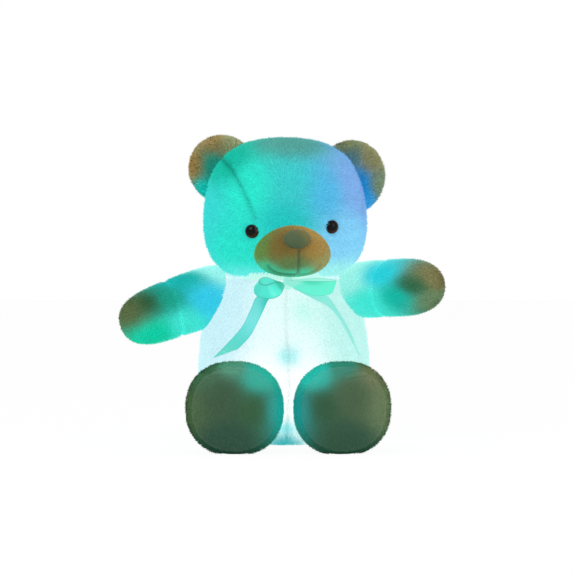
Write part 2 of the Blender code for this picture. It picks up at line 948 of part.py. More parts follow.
def make_tail(side, shares, reach, body_surface, knot, knot_room, home, satin):
    """Lies down over the chest, from under the knot to a slanting end."""
    places = []
    for i in range(TAIL_STEPS + 1):
        along, down, wide, twist = blend_shares(shares, i / TAIL_STEPS)
        x = knot.location.x + side * along * reach
        z = knot.location.z - down * TAIL_DROP
        seat, out = hit_from(body_surface, (x, -REACH, z), (0, 1, 0))
        width = wide * RIBBON_WIDTH
        lift = TAIL_STAND_OFF + width / 2 * abs(math.sin(twist * 2 * math.pi))
        centre = seat + out * lift
        centre.y = min(centre.y, seat.y - lift)
        if i == 0:
            centre.y = knot.location.y + KNOT_DEPTH / 4
        places.append((centre, out, width, twist))
    stations = []
    for i, (centre, out, width, twist) in enumerate(places):
        before = places[max(i - 1, 0)][0]
        after = places[min(i + 1, TAIL_STEPS)][0]
        ahead = (after - before).normalized()
        across = ahead.cross(out).normalized()
        across = Matrix.Rotation(twist * 2 * math.pi, 3, ahead) @ across
        stations.append((centre, across, width))
    name = "bow_tail_left" if side > 0 else "bow_tail_right"
    tail = put(name, strip_mesh(name, stations), home, satin)
    thicken(tail, RIBBON_THICKNESS)
    cut(tail, knot_room)
    return tail


# Pocket and flap


def pocket_front():
    """The pocket goes in from the back of the body, so its front follows the body's depth."""
    return BODY_DEPTH / 2 - POCKET_REACH


def make_pocket(body, form, home, cutters, plush, hook, fleece):
    """The opening in the back, its flap and the two strips that hold the flap shut."""
    s = case_sizes()
    pocket_width = s["width"] + 2 * POCKET_SIDE_ROOM
    pocket_height = SEAM_GAP + s["height"] + POCKET_TOP_ROOM
    top = POCKET_FLOOR + pocket_height + FLAP_MARGIN
    bottom = POCKET_FLOOR - FLAP_CHIN
    start = Vector((0, REACH, top))
    hinge, _ = hit_from(surface_of(form), start, (0, -1, 0))
    pivot = add_pivot("flap_hinge", home, hinge)
    width = pocket_width + 2 * FLAP_MARGIN
    height = top - bottom
    middle = Vector((0, BODY_DEPTH / 2, (top + bottom) / 2))
    deep = BODY_DEPTH / 2
    inner = swollen_copy(form, -FLAP_THICKNESS, cutters)
    flap = put(
        "pocket_flap",
        box_mesh("pocket_flap", (width, deep, height), middle - hinge),
        home,
        plush,
        parent=pivot,
    )
    bevel(flap, FLAP_CORNER)
    keep_inside(flap, form)
    cut(flap, inner)
    room_size = (width + 2 * FLAP_GAP, deep + 2 * FLAP_GAP, height + 2 * FLAP_GAP)
    room = put("flap room", box_mesh("flap room", room_size, middle), cutters)
    bevel(room, FLAP_CORNER)
    cut(room, swollen_copy(form, -FLAP_THICKNESS - FLAP_RELIEF, cutters))
    cut(body, room)
    pocket_size = (pocket_width, deep, pocket_height)
    pocket_middle = (0, pocket_front() + deep / 2, POCKET_FLOOR + pocket_height / 2)
    pocket = box_mesh("pocket", pocket_size, pocket_middle)
    cut(body, put("pocket", pocket, cutters))
    make_strips(body, flap, form, pivot, bottom, home, cutters, hook, fleece)
    return pivot, flap


def make_strips(body, flap, form, pivot, bottom, home, cutters, hook, fleece):
    """The hook strip rides on the flap and the loop strip stays on the body."""
    low = bottom + STRIP_LIFT
    level = low + STRIP_HEIGHT / 2
    back, _ = hit_from(surface_of(form), Vector((0, REACH, level)), (0, -1, 0))
    joint = back.y - FLAP_THICKNESS
    size = (STRIP_WIDTH, STRIP_THICKNESS, STRIP_HEIGHT)
    outer = Vector((0, joint + (SEAM_GAP + STRIP_THICKNESS) / 2, level))
    inner = Vector((0, joint - (SEAM_GAP + STRIP_THICKNESS) / 2, level))
    put("loop_strip", box_mesh("loop_strip", size, inner), home, fleece)
    put(
        "hook_strip",
        box_mesh("hook_strip", size, outer - pivot.location),
        home,
        hook,
        parent=pivot,
    )
    wide = STRIP_WIDTH + 2 * FLAP_GAP
    tall = STRIP_HEIGHT + 2 * FLAP_GAP
    deep = 2 * STRIP_THICKNESS + 3 * SEAM_GAP
    room = box_mesh("strip room", (wide, deep, tall), (0, joint, level))
    slot = put("strip room", room, cutters)
    cut(body, slot)
    cut(flap, slot)


# Battery case, set in the pocket with its open side to the back


def case_sizes():
    """Sizes that the case, its cover and what it holds all share."""
    inside_width = CELL_COUNT * CELL_PITCH
    cell_room = SPRING_LENGTH + CELL_LENGTH + CONTACT_THICKNESS + 4 * SEAM_GAP
    return {
        "inside width": inside_width,
        "screw side": inside_width / 2 - SCREW_INSET,
        "switch side": inside_width / 2 - SWITCH_INSET,
        "width": inside_width + 2 * CASE_WALL,
        "cell room": cell_room,
        "board floor": 2 * CASE_WALL + cell_room,
        "height": 3 * CASE_WALL + cell_room + BOARD_ROOM,
    }


def in_case(x, depth, up, size):
    """The middle of a box whose front face is at a depth and whose foot is up the case."""
    return Vector((x, depth + size[1] / 2, up + size[2] / 2))


def make_case(body, home, cutters, plastic):
    s = case_sizes()
    place = Vector((0, pocket_front() + SEAM_GAP, POCKET_FLOOR + SEAM_GAP))
    pivot = add_pivot("battery_case_place", home, place)
    outer = (s["width"], CASE_DEPTH, s["height"])
    case = put(
        "battery_case",
        box_mesh("battery_case", outer, in_case(0, 0, 0, outer)),
        home,
        plastic,
        parent=pivot,
    )
    bevel(case, CASE_CORNER)
    cells = (s["inside width"], CASE_DEPTH, s["cell room"])
    hollow = box_mesh("cell room", cells, in_case(0, CASE_WALL, CASE_WALL, cells))
    cut(case, put("cell room", hollow, cutters, parent=pivot))
    board = (s["inside width"], CASE_DEPTH, BOARD_ROOM)
    floor = CASE_DEPTH - BOARD_ROOM_DEPTH
    hollow = box_mesh("board room", board, in_case(0, floor, s["board floor"], board))
    cut(case, put("board room", hollow, cutters, parent=pivot))
    boss_length = BOARD_ROOM_DEPTH - COVER_LIP - SEAM_GAP + CASE_WALL
    boss = put(
        "screw boss",
        rod_mesh("screw boss", BOSS_DIAMETER / 2, boss_length, -CASE_WALL, SMALL_TURN_STEPS),
        cutters,
        parent=pivot,
        place=(s["screw side"], floor, s["board floor"] + BOARD_ROOM / 2),
        turn=rotation("X", -90),
    )
    join(case, boss)
    return pivot, case


def make_cells(pivot, home, cell_metal, steel):
    """Each cell lies the other way round from the next, between a spring and a plate."""
    s = case_sizes()
    radius = CELL_DIAMETER / 2
    nub = NUB_DIAMETER / 2
    length = CELL_LENGTH - NUB_LENGTH
    profile = [(0, CELL_LENGTH), (nub, CELL_LENGTH), (nub, length), (radius, length)]
    profile += [(radius, 0), (0, 0)]
    depth = CASE_WALL + SEAM_GAP + radius
    foot = CASE_WALL
    head = CASE_WALL + s["cell room"]
    for i in range(CELL_COUNT):
        x = (i - (CELL_COUNT - 1) / 2) * CELL_PITCH
        upright = 1 if i % 2 == 0 else -1
        end = foot if upright > 0 else head
        turn = rotation("X", 0 if upright > 0 else 180)
        number = str(i + 1)
        start = SEAM_GAP + SPRING_LENGTH + SEAM_GAP
        cell = put(
            "battery_" + number,
            profile_mesh("battery_" + number, profile),
            home,
            cell_metal,
            parent=pivot,
            place=(x, depth, end + upright * start),
            turn=turn,
        )
        turn_profile(cell)
        spring = tube(
            "contact_spring_" + number,
            coil_points(),
            SPRING_WIRE / 2,
            home,
            steel,
            pivot,
        )
        spring.location = (x, depth, end + upright * SEAM_GAP)
        spring.rotation_euler = turn.to_euler()
        plate_size = (CONTACT_WIDTH, CONTACT_WIDTH, CONTACT_THICKNESS)
        put(
            "contact_plate_" + number,
            box_mesh("contact_plate_" + number, plate_size, (0, 0, -CONTACT_THICKNESS / 2)),
            home,
            steel,
            parent=pivot,
            place=(x, depth, end + upright * (s["cell room"] - SEAM_GAP)),
            turn=turn,
        )


def coil_points():
    """A coil spring that stands on its own Z = 0, one point every part of a turn."""
    radius = (SPRING_DIAMETER - SPRING_WIRE) / 2
    rise = SPRING_LENGTH - SPRING_WIRE
    count = SPRING_TURNS * SPRING_POINTS
    points = []
    for i in range(count + 1):
        angle = 2 * math.pi * i / SPRING_POINTS
        height = SPRING_WIRE / 2 + rise * i / count
        points.append((radius * math.cos(angle), radius * math.sin(angle), height))
    return points


def make_cover(pivot, home, cutters, plastic):
    s = case_sizes()
    outer = (s["width"], COVER_THICKNESS, s["height"])
    start = CASE_DEPTH + SEAM_GAP
    cover = put(
        "battery_cover",
        box_mesh("battery_cover", outer, in_case(0, start, 0, outer)),
        home,
        plastic,
        parent=pivot,
    )
    bevel(cover, CASE_CORNER / 2)
    frame = (
        s["inside width"] - 2 * SEAM_GAP,
        COVER_LIP + SEAM_GAP + COVER_THICKNESS / 2,
        s["cell room"] - 2 * SEAM_GAP,
    )
    rim_start = CASE_DEPTH - COVER_LIP
    rim = box_mesh("rim", frame, in_case(0, rim_start, CASE_WALL + SEAM_GAP, frame))
    rim = put("cover rim", rim, cutters, parent=pivot)
    inside = (frame[0] - 2 * LIP_WALL, COVER_LIP + SEAM_GAP + OVERRUN, frame[2] - 2 * LIP_WALL)
    hollow_start = start - inside[1]
    hollow_centre = in_case(0, hollow_start, CASE_WALL + SEAM_GAP + LIP_WALL, inside)
    cut(rim, put("rim room", box_mesh("rim room", inside, hollow_centre), cutters, parent=pivot))
    join(cover, rim)
    rib = (COVER_RIB_WIDTH, COVER_RIB_HEIGHT + COVER_THICKNESS / 2, COVER_RIB_THICKNESS)
    for i in range(COVER_RIB_COUNT):
        up = CASE_WALL + s["cell room"] / 4 + i * COVER_RIB_PITCH
        place = in_case(0, start + COVER_THICKNESS / 2, up, rib)
        grip = box_mesh("grip rib", rib, place)
        join(cover, put("grip rib " + str(i + 1), grip, cutters, parent=pivot))
    return cover


def make_screw(pivot, case, cover, home, cutters, steel):
    """A pan-head screw through the cover into its boss."""
    s = case_sizes()
    shank = SCREW_DIAMETER / 2
    head = SCREW_HEAD / 2
    top = SCREW_HEAD_HEIGHT
    profile = [(0, top), (head / 2, top), (head, top / 2), (head, 0), (shank, 0)]
    profile += [(shank, -SCREW_LENGTH), (0, -SCREW_LENGTH)]
    outside = CASE_DEPTH + SEAM_GAP + COVER_THICKNESS + SEAM_GAP
    place = Vector((s["screw side"], outside, s["board floor"] + BOARD_ROOM / 2))
    turn = rotation("X", -90)
    screw = put(
        "cover_screw",
        profile_mesh("cover_screw", profile),
        home,
        steel,
        parent=pivot,
        place=place,
        turn=turn,
    )
    turn_profile(screw, SMALL_TURN_STEPS)
    slot = box_mesh("driver slot", (SCREW_HEAD + OVERRUN, SCREW_SLOT, top), (0, 0, top))
    cut(screw, put("driver slot", slot, cutters, parent=pivot, place=place, turn=turn))
    radius = shank + 2 * SEAM_GAP
    length = SCREW_LENGTH + SEAM_GAP + OVERRUN
    hole = rod_mesh("screw hole", radius, length, -SCREW_LENGTH - SEAM_GAP, SMALL_TURN_STEPS)
    hole = put("screw hole", hole, cutters, parent=pivot, place=place, turn=turn)
    cut(case, hole)
    cut(cover, hole)
    return screw


def make_switch(pivot, cover, home, cutters, plastic, board_green, steel):
    """A slide switch on the control board, worked through a slot in the cover."""
    s = case_sizes()
    middle = s["board floor"] + BOARD_ROOM / 2
    floor = CASE_DEPTH - BOARD_ROOM_DEPTH + SEAM_GAP
    board_size = (
        s["inside width"] - 2 * BOARD_MARGIN,
        BOARD_THICKNESS,
        BOARD_ROOM - 2 * BOARD_MARGIN,
    )
    board = put(
        "control_board",
        box_mesh("control_board", board_size, in_case(0, floor, -board_size[2] / 2, board_size)),
        home,
        board_green,
        parent=pivot,
        place=(0, 0, middle),
    )
    boss_room = rod_mesh(
        "boss room", BOSS_DIAMETER / 2 + 2 * SEAM_GAP, BOARD_ROOM_DEPTH, 0, SMALL_TURN_STEPS
    )
    boss_room = put("boss room", boss_room, cutters, parent=pivot, turn=rotation("X", -90))
    boss_room.location = (s["screw side"], floor - SEAM_GAP, middle)
    cut(board, boss_room)
    foot_size = (
        SWITCH_STEM_WIDTH + 2 * SWITCH_FOOT_MARGIN,
        SWITCH_FOOT_THICKNESS,
        SWITCH_STEM_HEIGHT + 2 * SWITCH_FOOT_MARGIN,
    )
    body_size = (
        foot_size[0] + SWITCH_TRAVEL + 2 * SWITCH_BODY_MARGIN,
        SWITCH_BODY_HEIGHT,
        foot_size[2] + 2 * SWITCH_BODY_MARGIN,
    )
    body_start = floor + BOARD_THICKNESS + SEAM_GAP
    side = -s["switch side"]
    switch_body = put(
        "switch_body",
        box_mesh("switch_body", body_size, in_case(0, body_start, -body_size[2] / 2, body_size)),
        home,
        steel,
        parent=pivot,
        place=(side, 0, middle),
    )
    track = (
        foot_size[0] + SWITCH_TRAVEL + 2 * SEAM_GAP,
        SWITCH_FOOT_THICKNESS + 2 * SEAM_GAP + OVERRUN,
        foot_size[2] + 2 * SEAM_GAP,
    )
    foot_start = body_start + SWITCH_BODY_HEIGHT - SWITCH_FOOT_THICKNESS
    track_box = box_mesh(
        "switch track", track, in_case(0, foot_start - SEAM_GAP, -track[2] / 2, track)
    )
    track_box = put("switch track", track_box, cutters, parent=pivot, place=(side, 0, middle))
    cut(switch_body, track_box)
    at_rest = side + SWITCH_TRAVEL / 2
    foot = box_mesh("switch_slider", foot_size, in_case(0, 0, -foot_size[2] / 2, foot_size))
    slider = put(
        "switch_slider", foot, home, plastic, parent=pivot, place=(at_rest, foot_start, middle)
    )
    cover_start = CASE_DEPTH + SEAM_GAP
    cap_start = cover_start + COVER_THICKNESS + SEAM_GAP
    stem_length = cap_start + SWITCH_CAP_RISE / 2 - foot_start - SWITCH_FOOT_THICKNESS / 2
    stem = (SWITCH_STEM_WIDTH, stem_length, SWITCH_STEM_HEIGHT)
    stem_place = in_case(0, SWITCH_FOOT_THICKNESS / 2, -stem[2] / 2, stem)
    cap = (SWITCH_CAP_WIDTH, SWITCH_CAP_RISE, SWITCH_CAP_HEIGHT)
    cap_place = in_case(0, cap_start - foot_start, -cap[2] / 2, cap)
    here = (at_rest, foot_start, middle)
    for name, size, centre in (("stem", stem, stem_place), ("cap", cap, cap_place)):
        piece = put("switch " + name, box_mesh(name, size, centre), cutters, parent=pivot)
        piece.location = here
        join(slider, piece)
    slot = (
        SWITCH_STEM_WIDTH + SWITCH_TRAVEL + 2 * SEAM_GAP,
        COVER_THICKNESS + OVERRUN,
        SWITCH_STEM_HEIGHT + 2 * SEAM_GAP,
    )
    slot_place = in_case(0, cover_start - OVERRUN / 2, -slot[2] / 2, slot)
    slot_box = put("switch slot", box_mesh("switch slot", slot, slot_place), cutters, parent=pivot)
    slot_box.location = (side, 0, middle)
    cut(cover, slot_box)
    return slider


# Lamp sets


def make_lamp(word, place, carrier, parent, home, cutters, frosted, board_green, leds):
    """A frosted cup over a small board that carries three lamps."""
    inner = LAMP_RADIUS - LAMP_WALL
    straight = LAMP_LENGTH - LAMP_SHOULDER
    outside = dome_points(LAMP_RADIUS, LAMP_LENGTH, LAMP_SHOULDER)
    inside = dome_points(inner, LAMP_LENGTH - LAMP_WALL, LAMP_SHOULDER)
    profile = outside + [(LAMP_RADIUS, 0), (inner, 0)] + list(reversed(inside))
    cup_name = word + "_lamp_cup"
    cup = put(
        cup_name, profile_mesh(cup_name, profile), home, frosted, parent=parent, place=place
    )
    turn_profile(cup)
    board_name = word + "_lamp_board"
    put(
        board_name,
        rod_mesh(board_name, inner - 2 * SEAM_GAP, LAMP_BOARD_THICKNESS),
        home,
        board_green,
        parent=parent,
        place=place,
    )
    radius = LED_DIAMETER / 2
    flange = LED_FLANGE / 2
    led_profile = dome_points(radius, LED_HEIGHT, radius, 3)
    led_profile += [(radius, LED_HEIGHT / 8), (flange, LED_HEIGHT / 8), (flange, 0), (0, 0)]
    for i in range(LED_COUNT):
        angle = 2 * math.pi * i / LED_COUNT
        away = Vector((math.cos(angle), math.sin(angle), 0)) * LED_CIRCLE
        up = Vector((0, 0, LAMP_BOARD_THICKNESS + SEAM_GAP))
        name = word + "_led_" + str(i + 1)
        led = put(
            name,
            profile_mesh(name, led_profile),
            home,
            leds[i],
            parent=parent,
            place=Vector(place) + away + up,
        )
        turn_profile(led, SMALL_TURN_STEPS)
    room = rod_mesh("lamp room", LAMP_RADIUS + 2 * SEAM_GAP, LAMP_LENGTH + 2 * SEAM_GAP, -SEAM_GAP)
    cut(carrier, put("room for " + word + " lamp", room, cutters, parent=parent, place=place))
    return cup


def body_lamp_place():
    """The body lamp stands just in front of the pocket."""
    return Vector((0, pocket_front() - LAMP_BACK_ROOM - LAMP_RADIUS, BODY_LAMP_HEIGHT))


def make_leads(body, body_cup, head, head_pivot, home, cutters, cable):
    """One lead from the case to the body lamp, one up the neck to the head lamp."""
    radius = LEAD_DIAMETER / 2
    lamp = body_lamp_place()
    board_edge = LAMP_RADIUS - LAMP_WALL - 2 * SEAM_GAP
    level = BODY_LAMP_HEIGHT + LEAD_DIAMETER / 2 + SEAM_GAP
    start = (0, pocket_front(), level)
    end = (0, lamp.y + board_edge + SEAM_GAP, level)
    tube("body_lead", [start, end], radius, home, cable)
    low = BODY_LAMP_HEIGHT + LAMP_LENGTH + SEAM_GAP
    high = NECK_HEIGHT + HEAD_LAMP_RISE - SEAM_GAP
    neck = (0, 0, NECK_HEIGHT)
    tube("head_lead", [(0, lamp.y, low), neck, (0, 0, high)], radius, home, cable)
    back_stop = put(
        "body lead room",
        rod_mesh(
            "body lead room",
            radius + 2 * SEAM_GAP,
            LAMP_RADIUS + LAMP_BACK_ROOM,
            0,
            SMALL_TURN_STEPS,
        ),
        cutters,
        turn=rotation("X", -90),
    )
    back_stop.location = (0, lamp.y + LAMP_RADIUS / 2, level)
    cut(body, back_stop)
    cut(body_cup, back_stop)
    lean = math.degrees(math.atan2(lamp.y, NECK_HEIGHT - low))
    up = put(
        "head lead channel",
        rod_mesh(
            "head lead channel",
            radius + 2 * SEAM_GAP,
            REACH,
            -LAMP_LENGTH / 2,
            SMALL_TURN_STEPS,
        ),
        cutters,
        turn=rotation("X", lean),
    )
    up.location = (0, lamp.y, low)
    cut(body, up)
    down = put(
        "head lead room",
        rod_mesh(
            "head lead room",
            radius + 2 * SEAM_GAP,
            OVERRUN + HEAD_LAMP_RISE + LAMP_LENGTH / 2,
            -OVERRUN,
            SMALL_TURN_STEPS,
        ),
        cutters,
        parent=head_pivot,
    )
    cut(head, down)


# The whole bear


def build():
    clear_scene()
    home = new_collection("plush_night_light")
    cutters = new_collection("cutters")
    plush = new_material("plush cloth", (0.55, 0.80, 0.76), 0.95)
    velvet = new_material("short velvet", (0.50, 0.50, 0.32), 0.9)
    nose_cloth = new_material("nose cloth", (0.22, 0.27, 0.20), 0.85)
    satin = new_material("satin ribbon", (0.35, 0.80, 0.68), 0.4)
    glossy = new_material("black eye plastic", (0.03, 0.02, 0.02), 0.15)
    plastic = new_material("white plastic", (0.85, 0.85, 0.83), 0.45)
    frosted = new_material("frosted plastic", (0.92, 0.95, 0.95), 0.5)
    hook = new_material("hook tape", (0.88, 0.88, 0.86), 0.8)
    fleece = new_material("loop tape", (0.88, 0.88, 0.86), 0.95)
    cell_metal = new_material("battery jacket", (0.25, 0.27, 0.30), 0.35, 0.6)
    steel = new_material("nickel plated steel", (0.70, 0.70, 0.68), 0.3, 1.0)
    board_green = new_material("circuit board", (0.03, 0.25, 0.10), 0.5)
    cable = new_material("cable sleeve", (0.10, 0.10, 0.10), 0.5)
    mint = new_material("mint lamp", (0.40, 0.95, 0.75), 0.2)
    white = new_material("white lamp", (0.90, 0.98, 1.00), 0.2)
    blue = new_material("blue lamp", (0.40, 0.65, 1.00), 0.2)

    body, form, ground = make_body(home, cutters, plush)
    make_arm(1, LEFT_ARM_DROP, LEFT_ARM_FORWARD, body, form, home, cutters, plush)
    make_arm(-1, RIGHT_ARM_DROP, RIGHT_ARM_FORWARD, body, form, home, cutters, plush)
    make_leg(1, LEFT_LEG_SPLAY, body, form, ground, home, cutters, plush, velvet)
    make_leg(-1, RIGHT_LEG_SPLAY, body, form, ground, home, cutters, plush, velvet)

    head_pivot, head, head_form = make_head(home, cutters, plush)
    muzzle = make_muzzle(head_pivot, head_form, home, cutters, velvet)
    make_nose(head_pivot, muzzle, home, cutters, nose_cloth)
    make_ear(1, LEFT_EAR_SIDE, LEFT_EAR_RISE, head_pivot, head_form, home, cutters, plush)
    make_ear(-1, RIGHT_EAR_SIDE, RIGHT_EAR_RISE, head_pivot, head_form, home, cutters, plush)
    for side, rise in ((1, LEFT_EYE_RISE), (-1, RIGHT_EYE_RISE)):
        make_eye(side, rise, head_pivot, head, head_form, home, cutters, glossy, plastic)

    make_neck_ribbon(body, home, cutters, satin)
    knot = make_knot(home, satin)
    knot_room = swollen_copy(knot, SEAM_GAP, cutters)
    for side, length, yaw, droop in (
        (1, LEFT_LOOP_LENGTH, LEFT_LOOP_YAW, LEFT_LOOP_DROOP),
        (-1, RIGHT_LOOP_LENGTH, RIGHT_LOOP_YAW, RIGHT_LOOP_DROOP),
    ):
        make_loop(side, length, yaw, droop, knot, knot_room, home, satin)
    chest = surface_of(form)
    make_tail(1, LEFT_TAIL_SHARES, LEFT_TAIL_REACH, chest, knot, knot_room, home, satin)
    make_tail(-1, RIGHT_TAIL_SHARES, RIGHT_TAIL_REACH, chest, knot, knot_room, home, satin)

    make_pocket(body, form, home, cutters, plush, hook, fleece)
    case_pivot, case = make_case(body, home, cutters, plastic)
    make_cells(case_pivot, home, cell_metal, steel)
    cover = make_cover(case_pivot, home, cutters, plastic)
    make_screw(case_pivot, case, cover, home, cutters, steel)
    make_switch(case_pivot, cover, home, cutters, plastic, board_green, steel)

    body_place = body_lamp_place()
    body_cup = make_lamp(
        "body", body_place, body, None, home, cutters, frosted, board_green, (mint, white, blue)
    )
    head_place = (0, 0, HEAD_LAMP_RISE)
    make_lamp(
        "head", head_place, head, head_pivot, home, cutters, frosted, board_green,
        (mint, white, blue),
    )
    make_leads(body, body_cup, head, head_pivot, home, cutters, cable)
    bpy.context.view_layer.update()


build()
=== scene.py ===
# Plush bear night light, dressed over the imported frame.
# Lengths are in metres, the bear faces -Y, +X is its own left and the ground is Z = 0.
import math
import bpy
import numpy as np
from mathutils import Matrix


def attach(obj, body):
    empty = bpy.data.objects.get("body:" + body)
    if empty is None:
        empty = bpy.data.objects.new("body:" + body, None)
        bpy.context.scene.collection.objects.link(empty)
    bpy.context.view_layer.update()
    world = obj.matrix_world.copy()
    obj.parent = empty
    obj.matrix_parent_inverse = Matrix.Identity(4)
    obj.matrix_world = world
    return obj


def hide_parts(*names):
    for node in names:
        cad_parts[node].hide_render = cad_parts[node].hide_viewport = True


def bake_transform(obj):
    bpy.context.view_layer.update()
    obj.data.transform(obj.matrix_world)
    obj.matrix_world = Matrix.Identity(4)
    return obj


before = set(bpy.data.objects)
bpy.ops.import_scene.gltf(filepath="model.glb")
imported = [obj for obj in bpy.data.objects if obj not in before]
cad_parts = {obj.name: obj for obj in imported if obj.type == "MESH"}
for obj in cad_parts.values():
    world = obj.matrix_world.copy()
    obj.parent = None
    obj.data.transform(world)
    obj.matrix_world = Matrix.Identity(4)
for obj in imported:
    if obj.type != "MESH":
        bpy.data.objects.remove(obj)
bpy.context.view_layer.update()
mm = 0.001
sewnGap = 0.3 * mm  # between a stuffed piece and what carries it, as in the CAD
pileGap = 1.0 * mm  # no pile grows this close to the next form
print("frame loaded:", len(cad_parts), "nodes")


# Numbers, colours and nodes

def linearHex(text):
    # An sRGB hex colour in linear light: each channel over 12.92 when dark, else to the power 2.4
    share = np.array([int(text[i:i + 2], 16) / 255 for i in (1, 3, 5)])
    return np.where(share <= 0.04045, share / 12.92, ((share + 0.055) / 1.055) ** 2.4)


def paintHex(text):
    # The hex colour in linear light with alpha one
    return (*linearHex(text), 1.0)


def join(owner, node, links):
    # links are input: (node, output)
    for key, (source, output) in links.items():
        owner.node_tree.links.new(source.outputs[output], node.inputs[key])


def addNode(owner, kind, settings, links=None):
    # settings go to the node's own properties or inputs
    node = owner.node_tree.nodes.new(kind)
    for key, value in settings.items():
        if isinstance(key, str) and hasattr(node, key):
            setattr(node, key, value)
        else:
            node.inputs[key].default_value = value
    join(owner, node, links or {})
    return node


def newMaterial(name, settings):
    # settings are set on the shader's own sockets
    material = bpy.data.materials.new(name)
    material.use_nodes = True
    shader = material.node_tree.nodes["Principled BSDF"]
    for key, value in settings.items():
        shader.inputs[key].default_value = value
    return material, shader


def turnAbout(axis, degrees):
    # The matrix that turns a column of places about one axis, 0 for X, 1 for Y and 2 for Z
    c, s = math.cos(math.radians(degrees)), math.sin(math.radians(degrees))
    turned = np.eye(3)
    i, j = [(1, 2), (2, 0), (0, 1)][axis]
    turned[i, i], turned[j, j], turned[i, j], turned[j, i] = c, c, -s, s
    return turned


def unit(vectors):
    # Each vector over its own length
    return vectors / (np.linalg.norm(vectors, axis=-1, keepdims=True) + 1e-12)


def circle(count):
    # Even angles once round
    return np.linspace(0, 2 * math.pi, count, endpoint=False)


def bell(apart, width):
    # One at no distance, falling as e to the minus (distance over width) squared
    return np.exp(-(apart / width) ** 2)


def evenSteps(curve, steps, count):
    # A curve taken at even shares of the run that its steps add up to
    run = np.concatenate([[0], np.cumsum(steps)])
    at = np.linspace(0, run[-1], count)
    return np.column_stack([np.interp(at, run, column) for column in curve.T])


# Stuffed forms. size is width, depth and length. A form's rings hold control shares: along its
# length, of its width, of its depth, and its shift in depth. ends, where given, says where its
# two poles are along the length. axes holds its own X, Y and Z as columns.

def formRows(form, count):
    # A uniform cubic B-spline over the rings and both poles, scaled to the form's size, then
    # taken at even steps along its profile: place along Z, half width, half depth, shift.
    width, depth, length = form["size"]
    rings = np.array(form["rings"], float) * (length, width / 2, depth / 2, depth)
    ends = form.get("ends", (0.0, 1.0))
    low = (ends[0] * length, 0, 0, rings[0, 3])
    high = (ends[1] * length, 0, 0, rings[-1, 3])
    flip = np.array((1, -1, -1, 1))
    controls = np.vstack([rings[0] * flip, low, rings, high, rings[-1] * flip])
    u = np.linspace(0, 1, 40, endpoint=False)[:, None]
    basis = ((1 - u) ** 3, 3 * u**3 - 6 * u**2 + 4, -3 * u**3 + 3 * u**2 + 3 * u + 1, u**3)
    spans = [
        sum(share * controls[k + i] for i, share in enumerate(basis)) / 6
        for k in range(len(controls) - 3)
    ]
    curve = np.vstack([*spans, (controls[-3] + 4 * controls[-2] + controls[-1]) / 6])
    curve[:, 0] = (curve[:, 0] - curve[:, 0].min()) * length / np.ptp(curve[:, 0])
    curve[:, 1] *= width / 2 / curve[:, 1].max()
    back, front = (curve[:, 3] + curve[:, 2]).max(), (curve[:, 3] - curve[:, 2]).min()
    curve[:, 3] = (curve[:, 3] - (back + front) / 2) * depth / (back - front)
    curve[:, 2] *= depth / (back - front)
    curve[:, 0] += form.get("base", 0)
    step = np.hypot(np.diff(curve[:, 0]), np.diff(curve[:, 1] + curve[:, 2]) / 2)
    return evenSteps(curve, step, count)


def stand(form, place, axes):
    # Gives a form its place, and the table of its rows that the tests of inside read
    form["place"] = np.array(place, float)
    form["axes"] = np.array(axes, float)
    form["table"] = formRows(form, 240)
    return form


def toOwn(form, points):
    # World places less the form's place, measured along its axes
    return (points - form["place"]) @ form["axes"]


def toWorld(form, points):
    # Own places laid along the form's axes, plus its place
    return points @ form["axes"].T + form["place"]


def sectionAt(form, high):
    # The form's half width, half depth and shift at a place on its own line
    table = form["table"]
    return [np.interp(high, table[:, 0], table[:, k]) for k in (1, 2, 3)]


def formGrid(form, rowCount, columns):
    # Each row is an ellipse: x is half width times cosine, y is shift plus half depth times sine,
    # both to the power "boxy", with their sign, where the form is squarer than an ellipse
    rows = formRows(form, rowCount)
    angle = circle(columns)
    power = form.get("boxy", 1.0)
    x = rows[:, 1:2] * np.sign(np.cos(angle)) * np.abs(np.cos(angle)) ** power
    y = rows[:, 3:4] + rows[:, 2:3] * np.sign(np.sin(angle)) * np.abs(np.sin(angle)) ** power
    z = np.broadcast_to(rows[:, 0:1], x.shape)
    return toWorld(form, np.stack([x, y, z], axis=-1))


def insideForm(form, points, margin=0.0):
    # True where x over half width, squared, plus y over half depth, squared, is under one
    own = toOwn(form, points)
    high, table = own[..., 2], form["table"]
    wide, deep, shift = sectionAt(form, high)
    wide, deep = np.maximum(wide + margin, 1e-9), np.maximum(deep + margin, 1e-9)
    round_ = (own[..., 0] / wide) ** 2 + ((own[..., 1] - shift) / deep) ** 2 < 1
    return round_ & (high > table[0, 0] - margin) & (high < table[-1, 0] + margin)


def clearOf(form, points, direction, gap):
    # A point inside the form slides along the direction to its surface, found by halving
    direction = unit(np.array(direction, float))
    inside = insideForm(form, points, gap)
    low = np.zeros(points.shape[:-1])
    high = np.full(points.shape[:-1], 0.15)
    for step in range(24):
        middle = (low + high) / 2
        hit = insideForm(form, points + middle[..., None] * direction, gap)
        low, high = np.where(hit, middle, low), np.where(hit, high, middle)
    return points + np.where(inside, high, 0.0)[..., None] * direction


def surfaceDepth(form, x, z, side):
    # The Y of an upright form's front, side -1, or back, side 1, over a place in X and Z
    wide, deep, shift = sectionAt(form, z - form["place"][2])
    across = np.clip((x - form["place"][0]) / np.maximum(wide, 1e-6), -1, 1)
    return form["place"][1] + shift + side * deep * np.sqrt(1 - across**2)


def frontOf(form, flat, lift):
    # Points on a form's front over its own X and Z, lifted off it along its own Y
    wide, deep, shift = sectionAt(form, flat[:, 1])
    y = shift - deep * np.sqrt(np.clip(1 - (flat[:, 0] / wide) ** 2, 0, 1)) - lift
    return toWorld(form, np.column_stack([flat[:, 0], y, flat[:, 1]]))


